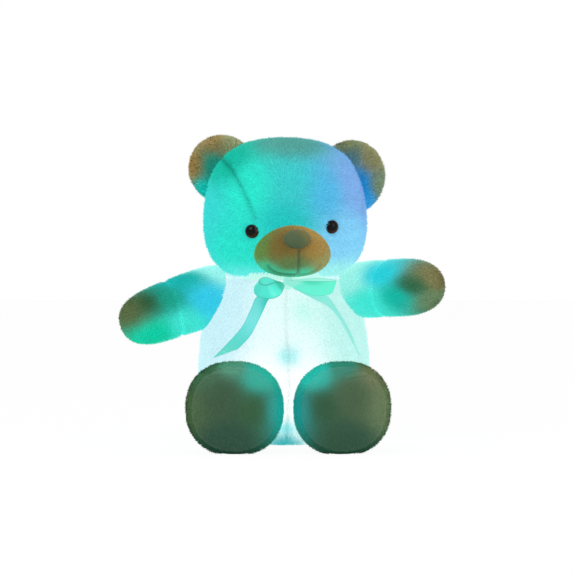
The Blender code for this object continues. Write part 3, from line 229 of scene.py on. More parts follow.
def gridNormals(grid):
    # The cross product of the steps around and along the grid, a pole taking its neighbours'
    around = np.roll(grid, -1, axis=1) - np.roll(grid, 1, axis=1)
    normals = np.cross(around, np.gradient(grid, axis=0))
    normals[0], normals[-1] = normals[1].sum(axis=0), normals[-2].sum(axis=0)
    return unit(normals)


def lineDistance(points, line):
    # The least distance in a plane from each point to a line of straight stretches
    line = np.array(line, float)
    least = np.full(points.shape[:-1], 1.0)
    for a, b in zip(line[:-1], line[1:]):
        share = np.clip(((points - a) @ (b - a)) / ((b - a) @ (b - a)), 0, 1)
        least = np.minimum(least, np.linalg.norm(points - a - share[..., None] * (b - a), axis=-1))
    return least


def throughPoints(points, count):
    # A Catmull-Rom curve through the points, taken at even steps of its own length
    points = np.array(points, float)
    ends = np.vstack([2 * points[0] - points[1], points, 2 * points[-1] - points[-2]])
    at = np.linspace(0, len(points) - 1, count * 8)
    k = np.minimum(at.astype(int), len(points) - 2)
    u = (at - k)[:, None]
    a, b, c, d = ends[k], ends[k + 1], ends[k + 2], ends[k + 3]
    bend = (2 * a - 5 * b + 4 * c - d) * u**2 + (3 * b - a - 3 * c + d) * u**3
    curve = b + ((c - a) * u + bend) / 2
    return evenSteps(curve, np.linalg.norm(np.diff(curve, axis=0), axis=1), count)


def wander(points, wave, seed):
    # A slow random field: sines of the place along five random directions, in three channels
    rng = np.random.default_rng(seed)
    field = np.zeros(points.shape)
    for step in range(5):
        way = unit(rng.normal(size=3)) * 2 * math.pi / wave * rng.uniform(0.6, 1.6)
        field += np.sin((points @ way)[..., None] + rng.uniform(0, 6.28, 3)) / 5
    return field


# Meshes

def newPiece(name, points, faces, material):
    # faces is a list of whole arrays, one row of corners a face
    mesh = bpy.data.meshes.new(name)
    sizes = np.concatenate([np.full(len(part), part.shape[1]) for part in faces])
    corners = np.concatenate([part.ravel() for part in faces]).astype(np.int32)
    mesh.vertices.add(len(points))
    mesh.vertices.foreach_set("co", points.astype(np.float32).ravel())
    mesh.loops.add(len(corners))
    mesh.loops.foreach_set("vertex_index", corners)
    mesh.polygons.add(len(sizes))
    starts = np.concatenate([[0], np.cumsum(sizes)[:-1]])
    mesh.polygons.foreach_set("loop_start", starts.astype(np.int32))
    mesh.polygons.foreach_set("use_smooth", np.ones(len(sizes), bool))
    mesh.update(calc_edges=True)
    mesh.materials.append(material)
    piece = bpy.data.objects.new(name, mesh)
    bpy.context.scene.collection.objects.link(piece)
    return piece


def giveMap(piece, corners):
    # One place on the map for each face corner
    layer = piece.data.uv_layers.new(name="OFBake")
    layer.data.foreach_set("uv", corners.astype(np.float32).ravel())


def giveColour(piece, name, colours):
    # One linear colour for each vertex, with alpha one
    layer = piece.data.attributes.new(name, "FLOAT_COLOR", "POINT")
    rgba = np.column_stack([colours, np.ones(len(colours))])
    layer.data.foreach_set("color", rgba.astype(np.float32).ravel())


def cellCorners(columns, rows):
    # The four corners of each cell on the map, counted in columns and rows
    c, r = np.meshgrid(columns, rows)
    corners = [(c, r), (c + 1, r), (c + 1, r + 1), (c, r + 1)]
    return np.stack([np.stack(pair, axis=-1) for pair in corners], axis=2).reshape(-1, 2)


def gridPiece(name, grid, material):
    # A closed grid: quads between its rows, and a fan of triangles at each pole
    rows, columns = grid.shape[:2]
    points = np.vstack([grid[0, :1], grid[1:-1].reshape(-1, 3), grid[-1, :1]])
    index = 1 + np.arange((rows - 2) * columns).reshape(rows - 2, columns)
    after = np.roll(index, -1, axis=1)
    quads = np.stack([index[:-1], after[:-1], after[1:], index[1:]], axis=-1).reshape(-1, 4)
    low = np.stack([after[0], index[0], np.zeros(columns, int)], axis=-1)
    high = np.stack([index[-1], after[-1], np.full(columns, len(points) - 1)], axis=-1)
    piece = newPiece(name, points, [quads, low, high], material)
    c = np.arange(columns)
    body = cellCorners(c, np.arange(1, rows - 2))
    bottom = np.stack([c + 1, c * 0 + 1, c, c * 0 + 1, c + 0.5, c * 0], axis=-1).reshape(-1, 2)
    top = [c, c * 0 + rows - 2, c + 1, c * 0 + rows - 2, c + 0.5, c * 0 + rows - 1]
    top = np.stack(top, axis=-1).reshape(-1, 2)
    giveMap(piece, np.vstack([body, bottom, top]) / (columns, rows - 1))
    return piece, points


def ringPiece(name, grid, material):
    # A grid closed both ways, as a hoop is: its rows go round the section
    rows, columns = grid.shape[:2]
    index = np.arange(rows * columns).reshape(rows, columns)
    over, after = np.roll(index, -1, axis=0), np.roll(index, -1, axis=1)
    both = np.roll(over, -1, axis=1)
    quads = np.stack([index, after, both, over], axis=-1).reshape(-1, 4)
    points = grid.reshape(-1, 3)
    piece = newPiece(name, points, [quads], material)
    giveMap(piece, cellCorners(np.arange(columns), np.arange(rows)) / (columns, rows))
    return piece, points


def closeEnds(line, body):
    # A tube's rows, with a row in one point at each end of its line
    ends = [np.repeat(line[i][None, None], body.shape[1], axis=1) for i in (0, -1)]
    return np.concatenate([ends[0], body, ends[1]])


def stripGrid(one, other, thickness, columns=28):
    # A strip between two edges: each section is a flat loop, across from edge to edge and
    # half the thickness off it, closed at both ends
    middle, across = (one + other) / 2, (one - other) / 2
    off = unit(np.cross(np.gradient(middle, axis=0), across)) * thickness / 2
    angle = circle(columns)[:, None]
    wave = np.sign(np.sin(angle)) * np.abs(np.sin(angle)) ** 0.5
    body = middle[:, None] + across[:, None] * np.cos(angle) + off[:, None] * wave
    return closeEnds(middle, body)


def seenColour(form, points):
    # Each spot pulls by (reach squared over distance squared plus reach squared) cubed, with
    # places in shares of the half box. Gives the colour seen in linear light and the lit share.
    low, high = form["box"]
    share = ((points - (low + high) / 2) / ((high - low) / 2)).astype(np.float32)
    spots = form["spots"]
    total, colour, lit = np.zeros((len(points), 1)), np.zeros(points.shape), np.zeros(len(points))
    for *place, reach, text, glow in spots:
        apart = ((share - np.array(place, np.float32)) ** 2).sum(axis=1)
        pull = (reach**2 / (apart + reach**2)) ** 3
        total += pull[:, None]
        colour += pull[:, None] * linearHex(text)
        lit += pull * glow
    return colour / total, lit[:, None] / total


def paintSkin(piece, form, points, shade=0.85):
    # Painted shade: cloth between the tufts gets less light than their tips
    colour, lit = seenColour(form, points)
    shade = np.reshape(shade, (-1, 1)) * np.ones((len(points), 1))
    giveColour(piece, "light", colour * lit * shade)
    giveColour(piece, "dyeAndShade", colour * (1 - lit) * shade)


def tuftRoots(grid, count, seed):
    # Cells are drawn in even steps of the surface's running area, a point taken inside each
    rng = np.random.default_rng(seed)
    normals = gridNormals(grid)
    a, d = grid[:-1], grid[1:]
    b, c = np.roll(a, -1, axis=1), np.roll(d, -1, axis=1)
    area = np.linalg.norm(np.cross(c - a, d - b), axis=2).ravel() / 2
    run = np.cumsum(area)
    cell = np.searchsorted(run, (np.arange(count) + rng.random(count)) / count * run[-1])
    row, column = np.divmod(np.minimum(cell, len(area) - 1), grid.shape[1])
    beyond = (column + 1) % grid.shape[1]
    u, v = rng.random((count, 1)), rng.random((count, 1))

    def between(field):
        # The four corners of the cell, mixed by u across it and by v along it
        low = field[row, column] * (1 - u) + field[row, beyond] * u
        high = field[row + 1, column] * (1 - u) + field[row + 1, beyond] * u
        return low * (1 - v) + high * v

    return between(grid), unit(between(normals))


def pilePiece(name, form, roots, normals, comb, pile, material, seed, lengthShare=1.0, shade=1.0):
    # Each tuft is a bent blade: its root pair, its middle pair half way up and its tip. It
    # leans from the normal towards the comb, a little at first and more at the tip. Its colour
    # is its root's, in a tone that varies at random by tuft and by patch, with painted shade
    # that makes it darker at the root and painted light that makes it lighter at the tip.
    rng = np.random.default_rng(seed)
    count = len(roots)
    flow = comb + pile["swirl"] * wander(roots, pile["wave"], seed + 1)
    flow += pile["stray"] * rng.normal(size=(count, 3))
    flow = unit(flow - (flow * normals).sum(axis=1, keepdims=True) * normals)
    length = (pile["length"] * lengthShare * rng.uniform(0.75, 1.2, count))[:, None]
    lean = np.radians(pile["lean"] + rng.normal(0, 9, count))[:, None]
    first = normals * np.cos(lean * 0.7) + flow * np.sin(lean * 0.7)
    second = normals * np.cos(lean * 1.35) + flow * np.sin(lean * 1.35)
    roll = rng.normal(0, 0.45, count)[:, None]
    side = unit(np.cross(flow, normals))
    side = side * np.cos(roll) + np.cross(side, first) * np.sin(roll)
    half = (pile["width"] / 2 * rng.uniform(0.7, 1.3, count))[:, None]
    middle = roots + first * length * 0.5
    tip = middle + second * length * 0.5
    points = np.stack([
        roots - side * half, roots + side * half,
        middle + side * half * 0.8, middle - side * half * 0.8, tip,
    ], axis=1).reshape(-1, 3)
    points[:, 2] = np.maximum(points[:, 2], 0.3 * mm)
    base = np.arange(count)[:, None] * 5
    piece = newPiece(name, points, [base + (0, 1, 2, 3), base + (3, 2, 4)], material)
    colour, lit = seenColour(form, roots)
    tone = rng.normal(1, pile["mottle"], (count, 1)) * np.reshape(shade, (-1, 1))
    tone = tone + pile["patch"] * wander(roots, pile["patchWave"], seed + 2)[:, :1]
    # Painted shade at the root and painted light at the tip
    steps = np.array([pile["root"], pile["root"], pile["middle"], pile["middle"], pile["tip"]])
    tone = (np.clip(tone, 0.2, 1.8)[:, :, None] * steps[None, :, None]).reshape(count, 5, 1)
    giveColour(piece, "light", ((colour * lit)[:, None] * tone).reshape(-1, 3))
    giveColour(piece, "dyeAndShade", ((colour * (1 - lit))[:, None] * tone).reshape(-1, 3))
    across = int(math.ceil(math.sqrt(count)))
    place = np.empty(count, int)
    place[np.lexsort((roots[:, 0] + roots[:, 1], roots[:, 2]))] = np.arange(count)
    corner = np.stack([place % across, place // across], axis=1)[:, None]
    quad = (corner + np.array([(0.1, 0.1), (0.9, 0.1), (0.8, 0.5), (0.2, 0.5)])) / across
    peak = (corner + np.array([(0.2, 0.5), (0.8, 0.5), (0.5, 0.9)])) / across
    giveMap(piece, np.vstack([quad.reshape(-1, 2), peak.reshape(-1, 2)]))
    print(name, "has", count, "tufts")
    return piece


def offFloor(roots, normals):
    # Roots above the floor, and those near it where the surface doesn't face down
    return (roots[:, 2] > 1.2 * mm) | (normals[:, 2] > -0.6)


def falling(roots, rise=0.0):
    # A comb that falls and spreads from the middle line, and stands up where rise is one
    up = np.broadcast_to(2.5 * rise - 1, len(roots))
    return np.column_stack([roots[:, 0] * 5, np.zeros(len(roots)), up])


def finishPieces(pieces, body, node, reach=None):
    # All of them ride the body or, where reach is given, stay where they are with their
    # transforms baked in. The node is hidden.
    for piece in pieces:
        if reach:
            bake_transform(piece)
        else:
            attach(piece, body)
    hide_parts(node)


# Cloth materials

def clothMaterial(name, settings, pattern, tones, lift, words=("dyeAndShade", "light")):
    # The attribute "dye" is the colour that room light shows, and "light" is the lamp's light
    # that comes through, painted on as a glow. Both carry the painted shade that a piece is given.
    # A pattern varies both by the tones and lifts the surface.
    material, shader = newMaterial(name, settings)
    kind, shape, onMap = pattern
    if onMap:
        place = (addNode(material, "ShaderNodeUVMap", {"uv_map": "OFBake"}), "UV")
    else:
        place = (addNode(material, "ShaderNodeTexCoord", {}), "Object")
    grain = addNode(material, kind, shape, {"Vector": place})
    tone = addNode(material, "ShaderNodeMapRange", tones, {"Value": (grain, "Fac")})
    for word in words:
        paint = addNode(material, "ShaderNodeAttribute", {"attribute_name": word})
        toned = addNode(
            material, "ShaderNodeVectorMath", {"operation": "SCALE"},
            {0: (paint, "Color"), "Scale": (tone, "Result")},
        )
        socket = {"dyeAndShade": "Base Color", "light": "Emission Color"}[word]
        join(material, shader, {socket: (toned, "Vector")})
    strength, distance = lift
    bump = addNode(
        material, "ShaderNodeBump", {"Strength": strength, "Distance": distance},
        {"Height": (grain, "Fac")},
    )
    join(material, shader, {"Normal": (bump, "Normal")})
    return material


def fibreCloth(name, settings, grain, depth, tint):
    # A cloth whose pattern is a noise of the fibre's size
    return clothMaterial(
        name, settings,
        ("ShaderNodeTexNoise", {"Scale": 1 / grain, "Detail": 2.0, "Roughness": 0.6}, False),
        {"From Min": 0.3, "From Max": 0.7, "To Min": 1 - tint, "To Max": 1 + tint}, (0.6, depth),
    )


# The scale at which a wave texture has one wave in a unit of its place
oneWave = math.pi / 10
# Polyester pile: soft, matt, with a faint pale sheen where fibres turn away
plushPile = fibreCloth("polyester plush pile", {
    "Roughness": 0.9, "Specular IOR Level": 0.12, "Sheen Weight": 0.04, "Sheen Roughness": 0.5,
    "Emission Strength": 1.2,
}, 1.6 * mm, 0.2 * mm, 0.12)
# Knitted back of the plush, seen between the tufts: flat, a little darker
plushBack = fibreCloth("knitted plush backing", {
    "Roughness": 0.95, "Specular IOR Level": 0.12, "Emission Strength": 1.2,
}, 0.9 * mm, 0.3 * mm, 0.15)
# Short cut velvet of the muzzle and soles: close and even, brighter at grazing angles
velvetPile = fibreCloth("short cut velvet", {
    "Roughness": 0.8, "Sheen Weight": 0.4, "Sheen Roughness": 0.4, "Emission Strength": 1.0,
}, 0.8 * mm, 0.15 * mm, 0.15)
longFur = {
    "length": 4.6 * mm, "width": 0.70 * mm, "lean": 52.0, "swirl": 0.9, "wave": 18 * mm,
    "stray": 0.22, "mottle": 0.05, "patch": 0.06, "patchWave": 13 * mm,
    "root": 0.88, "middle": 1.00, "tip": 1.06,
}
limbFur = {**longFur, "length": 3.2 * mm, "width": 0.6 * mm}
# The belly is nearest the lamp, so its fur hardly shades itself
bellyFur = {**longFur, "mottle": 0.025, "patch": 0.025, "root": 0.94, "middle": 1.0, "tip": 1.03}
# Unlit fur of the ear rims and paws shows its tufts more
earFur = {**longFur, "length": 4.2 * mm, "mottle": 0.10, "stray": 0.40, "root": 0.75, "tip": 1.15}
velvetFur = {
    "length": 1.5 * mm, "width": 0.42 * mm, "lean": 38.0, "swirl": 0.5, "wave": 14 * mm,
    "stray": 0.25, "mottle": 0.04, "patch": 0.05, "patchWave": 9 * mm,
    "root": 0.90, "middle": 1.0, "tip": 1.05,
}


def boxOf(grid):
    # The lowest and the highest corner
    flat = grid.reshape(-1, 3)
    return flat.min(axis=0), flat.max(axis=0)


def groove(grid, apart, width, depth, where=1.0):
    # The surface sinks along its normal by depth times the bell of the distance
    sink = depth * bell(apart, width) * where
    return grid - gridNormals(grid) * sink[..., None]


# Camera, as the photograph was taken: far off, level with the belly
view = {
    "distance": 2.2, "height": 0.155, "elevation": 0.7,
    "lens": 138.2, "sensor": 36.0, "shift": (0.0044, 0.0017),
}
camera = bpy.data.objects.new("camera", bpy.data.cameras.new("camera"))
bpy.context.scene.collection.objects.link(camera)
bpy.context.scene.camera = camera
rise = math.radians(view["elevation"])
camera.location = (
    0, -view["distance"] * math.cos(rise), view["height"] + view["distance"] * math.sin(rise),
)
camera.rotation_euler = (math.pi / 2 - rise, 0, 0)
camera.data.lens = view["lens"]
camera.data.sensor_width = view["sensor"]
camera.data.shift_x, camera.data.shift_y = view["shift"]


# Torso, with its middle seam, the dimple in it and the groove that holds the neck ribbon
torso = {
    "size": (0.167, 0.130, 0.184),
    "base": -0.5 * mm,
    "rings": (
        (0, 0.6, 0.58, 0), (0.045, 0.85, 0.84, 0), (0.2, 0.985, 0.975, -0.01),
        (0.4, 1, 1, -0.02), (0.6, 0.96, 0.95, -0.01), (0.78, 0.88, 0.74, 0),
        (0.895, 0.8, 0.58, 0), (0.985, 0.68, 0.5, 0),
    ),
    "neckHeight": 0.170,
    "grid": (150, 230),
    "seam": ((0.0018, 0.168), (0.0020, 0.110), (0.0040, 0.095), (0.0050, 0.060), (0.0030, 0.010)),
    "seamDepth": 1.5 * mm,
    "seamWidth": 2.0 * mm,
    "dimple": (0.0050, 0.088, 0.006, 0.016, 3.5 * mm),  # x, z, half width, half height, depth
    "bandRadius": 39.4 * mm,
    "bandLow": 0.1622,
    "bandHigh": 0.1694,
    "tufts": 60000,
    "seamReach": 2.4 * mm,
    # The shoulders' rim, where pile stands up: from how far below the band, over which height,
    # and outside which X, over which width
    "rim": (7 * mm, 5 * mm, 36 * mm, 6 * mm),
    # A spot: X, Y and Z in shares of the half box, reach, the colour seen, and its lit share
    "spots": (
        # The white lamp behind the belly, its blue side, its green side, and the dim foot
        (0, -0.95, -0.4, 0.45, "#F6FAFA", 0.91), (0, -0.85, 0.4, 0.4, "#DCF3F2", 0.91),
        (-0.75, -0.5, 0.3, 0.45, "#C0E4EC", 0.86), (0.75, -0.5, 0.25, 0.45, "#B6E8E2", 0.87),
        (0.2, -0.82, 0.46, 0.16, "#A6ECDD", 0.9), (0.05, -0.98, -0.03, 0.12, "#66DDE0", 0.9),
        (0, -0.7, -0.97, 0.16, "#10B4B8", 0.65), (0.03, -0.9, -0.8, 0.1, "#48DCE0", 0.8),
        (-0.6, 0.9, 0.3, 0.5, "#A1EFE4", 0.8), (0.6, 0.9, 0.3, 0.5, "#AEE9F8", 0.8),
        (0, 0.9, -0.5, 0.45, "#70D8D6", 0.7), (0, 0.6, 0.95, 0.3, "#7FE3E0", 0.75),
    ),
}
stand(torso, (0, 0, 0), np.eye(3))
torsoGrid = formGrid(torso, *torso["grid"])
torso["box"] = boxOf(torsoGrid)
torsoSeam = lineDistance(torsoGrid[..., (0, 2)], torso["seam"])
torsoFront = np.clip(-gridNormals(torsoGrid)[..., 1] * 2, 0, 1)
torsoGrid = groove(torsoGrid, torsoSeam, torso["seamWidth"], torso["seamDepth"], torsoFront)
dimpleX, dimpleZ, dimpleWide, dimpleTall, dimpleDeep = torso["dimple"]
dimpleAway = np.hypot(
    (torsoGrid[..., 0] - dimpleX) / dimpleWide, (torsoGrid[..., 2] - dimpleZ) / dimpleTall,
)
torsoGrid = groove(torsoGrid, dimpleAway, 1.0, dimpleDeep, torsoFront)
banded = (torsoGrid[..., 2] > torso["bandLow"]) & (torsoGrid[..., 2] < torso["bandHigh"])
away = np.hypot(torsoGrid[..., 0], torsoGrid[..., 1])
banded &= away > torso["bandRadius"]
pull = np.where(banded, torso["bandRadius"] / np.maximum(away, 1e-6), 1.0)
torsoGrid[..., :2] *= pull[..., None]
torsoGrid[..., 2] = np.clip(torsoGrid[..., 2], 0.0, torso["neckHeight"])
print("torso form ready")


# Head, turned a little to the bear's left, with two gusset seams and a dimple round each eye
head = {
    "size": (0.158, 0.138, 0.142),
    "base": -0.010,
    "forward": 0.010,
    "turn": 6.5,
    "swing": 25.0,
    "ribbonReach": 44 * mm,
    "bowHalf": 0.034,
    "hang": (1.5 * mm, 5 * mm, 0.3),  # pile from here up, hanging pile below here, and longer
    "parting": (0, -0.06, 0.055),  # over the muzzle, and the pile is combed away from it
    "rings": (
        (0.03, 0.44, 0.42, 0.02), (0.12, 0.86, 0.78, 0.01), (0.3, 1, 0.96, -0.01),
        (0.52, 1, 1, 0), (0.74, 0.925, 0.935, 0.02), (0.89, 0.75, 0.74, 0.03),
        (0.975, 0.45, 0.44, 0.03),
    ),
    "grid": (150, 240),
    # Places of the two gusset seams, in shares of the head's half width and half height
    "seams": (
        ((-0.80, 0.75), (-0.69, 0.53), (-0.535, 0.16), (-0.48, -0.02), (-0.45, -0.10)),
        ((0.78, 0.80), (0.86, 0.62), (0.93, 0.20), (0.90, -0.05)),
    ),
    "seamDepths": (1.8 * mm, 0.8 * mm),
    "seamShades": (0.45, 0.12),
    "seamWidth": 2.0 * mm,
    "seamReach": 2.6 * mm,
    "socketDepth": 3.2 * mm,
    "socketReach": 8.0 * mm,
    "tufts": 62000,
    "spots": (
        # The green lamp's side, the blue lamp's side, the crown and the chin's two ends
        (-0.9, -0.4, 0, 0.45, "#34CCC8", 0.84), (-0.62, -0.75, -0.45, 0.4, "#26D6C2", 0.86),
        (-0.45, -0.85, 0.25, 0.35, "#28DEC6", 0.82), (-0.7, -0.4, 0.6, 0.35, "#07B096", 0.78),
        (0.08, -0.9, 0.3, 0.35, "#38C4C2", 0.8), (0.02, -0.97, -0.15, 0.3, "#1CBEBA", 0.81),
        (0.48, -0.82, 0.2, 0.35, "#4CB0DA", 0.82), (0.85, -0.45, 0.25, 0.4, "#78A2DA", 0.82),
        (0.75, -0.6, -0.35, 0.4, "#7CC6EA", 0.87), (0.05, -0.45, 0.92, 0.32, "#529C92", 0.55),
        (-0.45, -0.45, -0.95, 0.26, "#5EE0D8", 0.86), (0.6, -0.4, -0.92, 0.3, "#98E5E0", 0.87),
        (-0.8, 0.6, 0.2, 0.45, "#4DD8CE", 0.75), (0.8, 0.6, 0.2, 0.45, "#5C8AD9", 0.75),
        (0, 0.95, 0, 0.45, "#56C6CF", 0.7), (0, 0.7, 0.8, 0.35, "#5CC4BA", 0.66),
        (0, 0.6, -0.85, 0.35, "#6BE7E7", 0.75),
    ),
}
headAxes = turnAbout(2, head["turn"])
neck = np.array((0, 0, torso["neckHeight"]))
stand(head, neck + headAxes @ (0, -head["forward"], 0), headAxes)
eyes = {
    "spacing": 0.078, "riseLeft": 44.7 * mm, "riseRight": 40.2 * mm, "diameter": 13.5 * mm,
    "outward": 14.0, "sink": 0.6 * mm, "dome": 4.6 * mm,
    "clear": 0.42, "rimShade": 0.3, "rimReach": 2.0 * mm,
    # The profile behind the dome in shares of the radius and in mm, then the pupil's place, and
    # where the brown ring begins and ends and how softly
    "back": ((0, -1.8), (0.7, -1.8), (0.97, -1.2), (1, -0.3)),
    "pupil": (-0.9 * mm, 0.7 * mm), "ring": ((4.7 * mm, 0.8 * mm), (6.4 * mm, 0.5 * mm)),
    "black": "#060608", "brown": "#43241A",
}
headGrid = formGrid(head, *head["grid"])
head["box"] = boxOf(headGrid)
headOwn = toOwn(head, headGrid)
headFront = np.clip(-(gridNormals(headGrid) @ headAxes)[..., 1] * 2.5, 0, 1)


def seamsAway(own):
    # The distance from each gusset seam, on the head's front
    wide, tall = head["size"][0] / 2, head["size"][2] / 2
    flat = np.stack([own[..., 0] / wide, (own[..., 2] - (head["base"] + tall)) / tall], axis=-1)
    return [lineDistance(flat, line) * head["size"][0] / 2 for line in head["seams"]]


for apart, depth in zip(seamsAway(headOwn), head["seamDepths"]):
    headGrid = groove(headGrid, apart, head["seamWidth"], depth, headFront)
eyePlaces = []
for side, rise in ((1, eyes["riseLeft"]), (-1, eyes["riseRight"])):
    x = side * eyes["spacing"] / 2
    wide, deep, shift = sectionAt(head, rise)
    y = shift - deep * math.sqrt(1 - (x / wide) ** 2)
    eyePlaces.append((side, toWorld(head, np.array((x, y, rise)))))
    around = np.hypot(headOwn[..., 0] - x, headOwn[..., 2] - rise)
    headGrid = groove(headGrid, around, head["socketReach"], head["socketDepth"], headFront)
headGrid[..., 2] = np.maximum(headGrid[..., 2], torso["neckHeight"] + sewnGap)
print("head form ready")


# Muzzle of short velvet on the face
muzzle = {
    "size": (0.072, 0.080, 0.0485),
    "forward": 0.072,
    "rise": -3.0 * mm,
    "rings": (
        (0.06, 0.62, 0.7, 0.02), (0.32, 1, 0.98, 0), (0.62, 0.92, 1, 0),
        (0.88, 0.56, 0.82, 0.02),
    ),
    "grid": (110, 200),
    "tufts": 26000,
    "spots": (
        # Brown cloth, warmer to the bear's left, with the belly's green light on its lower edge
        (-0.1, -0.9, 0.2, 0.55, "#806A20", 0.13), (0.6, -0.65, 0.25, 0.5, "#B49244", 0.13),
        (-0.85, -0.3, 0.1, 0.4, "#66903C", 0.17), (0.8, -0.3, -0.4, 0.35, "#A09E60", 0.36),
        (0, -0.8, -0.45, 0.35, "#62844A", 0.26), (-0.6, -0.3, -0.75, 0.35, "#3CC898", 0.5),
        (0.15, -0.4, -0.9, 0.38, "#40D4A8", 0.5),
    ),
}
stand(muzzle, neck + headAxes @ (0, -muzzle["forward"], muzzle["rise"]), headAxes)
# The stitched mouth, in the muzzle's own X and Z: down from the nose, then two smiling sides
mouth = {
    "lines": (
        ((1.4, 25.0), (2.1, 13.0), (2.6, 4.5), (2.6, 1.7)),
        ((-25.5, 10.0), (-21.0, 5.6), (-14.0, 2.8), (-6.0, 1.9), (2.6, 1.7)),
        ((24.0, 11.0), (20.5, 6.5), (15.0, 3.4), (9.0, 2.1), (2.6, 1.7)),
    ),
    "depths": (1.0 * mm, 1.1 * mm, 0.7 * mm),
    "width": 1.5 * mm,
    "threads": (1.0 * mm, 0.55 * mm, 0.30 * mm),
    "shades": (0.6, 0.6, 0.3),
    "shadeReach": 1.5 * mm,
    "clear": 0.8 * mm,
    "spots": (
        # Brown thread, with the belly's green light painted on its lower part
        (0, -1, 0.1, 0.3, "#4B3F1C", 0.05), (0, -1, -0.4, 0.3, "#3C5228", 0.1),
        (0, -1, -0.9, 0.3, "#24744A", 0.3), (-0.9, -1, -0.8, 0.4, "#2B8C60", 0.4),
        (0.9, -1, -0.8, 0.4, "#7F9A5A", 0.3),
    ),
}
mouthLines = [throughPoints(np.array(line) * mm, 60) for line in mouth["lines"]]


def mouthAway(points):
    # The distance from each mouth line, on the front of the muzzle alone
    own = toOwn(muzzle, points)
    away = [lineDistance(own[..., (0, 2)], line[::6]) for line in mouthLines]
    return [np.where(own[..., 1] < 0, part, 1.0) for part in away]


muzzleGrid = formGrid(muzzle, *muzzle["grid"])
for part, depth in zip(mouthAway(muzzleGrid), mouth["depths"]):
    muzzleGrid = groove(muzzleGrid, part, mouth["width"], depth)
muzzleGrid = clearOf(head, muzzleGrid, headAxes @ (0, -1, 0), 0.2 * mm)
muzzle["box"] = boxOf(muzzleGrid)


# Nose of woven cloth, sewn to the front of the muzzle
nose = {
    "size": (26.0 * mm, 18.5 * mm, 13.0 * mm),
    "rise": 32.2 * mm,
    "bite": 4.0 * mm,
    "rings": ((0.26, 0.9, 0.9, 0), (0.76, 0.88, 0.88, 0)),
    "grid": (40, 64),
    "spots": (
        # Grey-green cloth that little light reaches
        (0, -1, 0, 0.8, "#3C5030", 0), (0.8, -0.4, 0.4, 0.8, "#64602E", 0),
    ),
}
wide, deep, shift = sectionAt(muzzle, nose["rise"] - muzzle["rise"])
nosePlace = (0, -muzzle["forward"] + shift - deep + nose["bite"], nose["rise"])
stand(nose, neck + headAxes @ nosePlace, headAxes @ turnAbout(0, 90))
noseGrid = clearOf(muzzle, formGrid(nose, *nose["grid"]), headAxes @ (0, -1, 0), 0.1 * mm)
nose["box"] = boxOf(noseGrid)


def dressHead():
    # Pile is shorter, and darker with painted shade, by the bell of its distance from the seams
    # and the eyes' rims
    skin, points = gridPiece("headSkin", headGrid, plushBack)
    paintSkin(skin, head, points)
    roots, normals = tuftRoots(headGrid, head["tufts"], 11)
    own = toOwn(head, roots)
    near = np.zeros(len(roots))
    # Painted shade in the creases of the seams
    for apart, shade in zip(seamsAway(own), head["seamShades"]):
        near = np.maximum(near, shade * bell(apart, head["seamReach"]))
    # Under the head the pile hangs down outside the ribbon, and a little longer
    under = (np.hypot(roots[:, 0], roots[:, 1]) > head["ribbonReach"]) & (normals[:, 2] < -0.3)
    under &= np.abs(roots[:, 0]) > head["bowHalf"]
    above, below, more = head["hang"]
    keep = (roots[:, 2] > torso["neckHeight"] + above) | under
    keep &= ~insideForm(muzzle, roots, pileGap / 2)
    for side, place in eyePlaces:
        apart = np.linalg.norm(roots - place, axis=1)
        keep &= apart > eyes["diameter"] * eyes["clear"]
        off = np.abs(apart - eyes["diameter"] * 0.5)
        # Painted shade in the socket round the eye
        near = np.maximum(near, eyes["rimShade"] * bell(off, eyes["rimReach"]))
    near = np.where(own[:, 1] < 0, near, 0.0)[keep]
    longer = np.where(under & (roots[:, 2] < torso["neckHeight"] + below), more, 0.0)[keep]
    roots, normals = roots[keep], normals[keep]
    comb = unit(roots - (head["place"] + headAxes @ head["parting"])) + (0, 0, -0.35)
    fur = pilePiece(
        "headPile", head, roots, normals, comb, longFur, plushPile, 12,
        1 - near + longer, 1 - near,
    )
    finishPieces((skin, fur), "head", "head")


def dressMuzzle():
    # Pile is shorter, and darker with painted shade in the creases, by the bell of its distance
    # from the mouth's lines
    skin, points = gridPiece("muzzleSkin", muzzleGrid, velvetPile)
    paintSkin(skin, muzzle, points)
    roots, normals = tuftRoots(muzzleGrid, muzzle["tufts"], 21)
    keep = ~insideForm(head, roots, pileGap) & ~insideForm(nose, roots, 0.2 * mm)
    creases = mouthAway(roots)
    keep &= creases[0] > mouth["clear"]
    # Painted shade along the mouth's creases
    shades = zip(mouth["shades"], creases)
    near = sum(share * bell(part, mouth["shadeReach"]) for share, part in shades)
    near = np.clip(near[keep], 0, 1)
    roots, normals = roots[keep], normals[keep]
    comb = unit(roots - nose["place"]) + (0, 0, -0.2)
    fur = pilePiece(
        "muzzlePile", muzzle, roots, normals, comb, velvetFur, velvetPile, 22,
        1 - 0.6 * near, 1 - 0.75 * near,
    )
    finishPieces((skin, fur), "head", "muzzle")


dressHead()
dressMuzzle()


# Woven nose cloth: matt, with a fine twill and a soft shine on top. Its threads are 0.3 mm
# apart, drawn at 0.9 mm so that they show, and no light comes through.
noseCloth = clothMaterial(
    "woven nose cloth",
    {"Roughness": 0.75, "Sheen Weight": 0.15, "Sheen Roughness": 0.4, "Emission Strength": 0.0},
    ("ShaderNodeTexWave",
     {"Scale": oneWave / (0.9 * mm), "bands_direction": "DIAGONAL", "Distortion": 1.2}, False),
    {"To Min": 0.82, "To Max": 1.12}, (0.5, 0.2 * mm), ("dyeAndShade",),
)
noseSkin, nosePoints = gridPiece("noseCloth", noseGrid, noseCloth)
paintSkin(noseSkin, nose, nosePoints, 1.0)
finishPieces((noseSkin,), "head", "nose")


# Arms, legs, ears: a form along its own line, slid out of what carries it
def limbAxes(direction):
    # Own Z along the limb, own Y up
    ahead = unit(np.array(direction, float))
    side = unit(np.cross((0, 0, 1.0), ahead))
    return np.column_stack([side, np.cross(ahead, side), ahead])


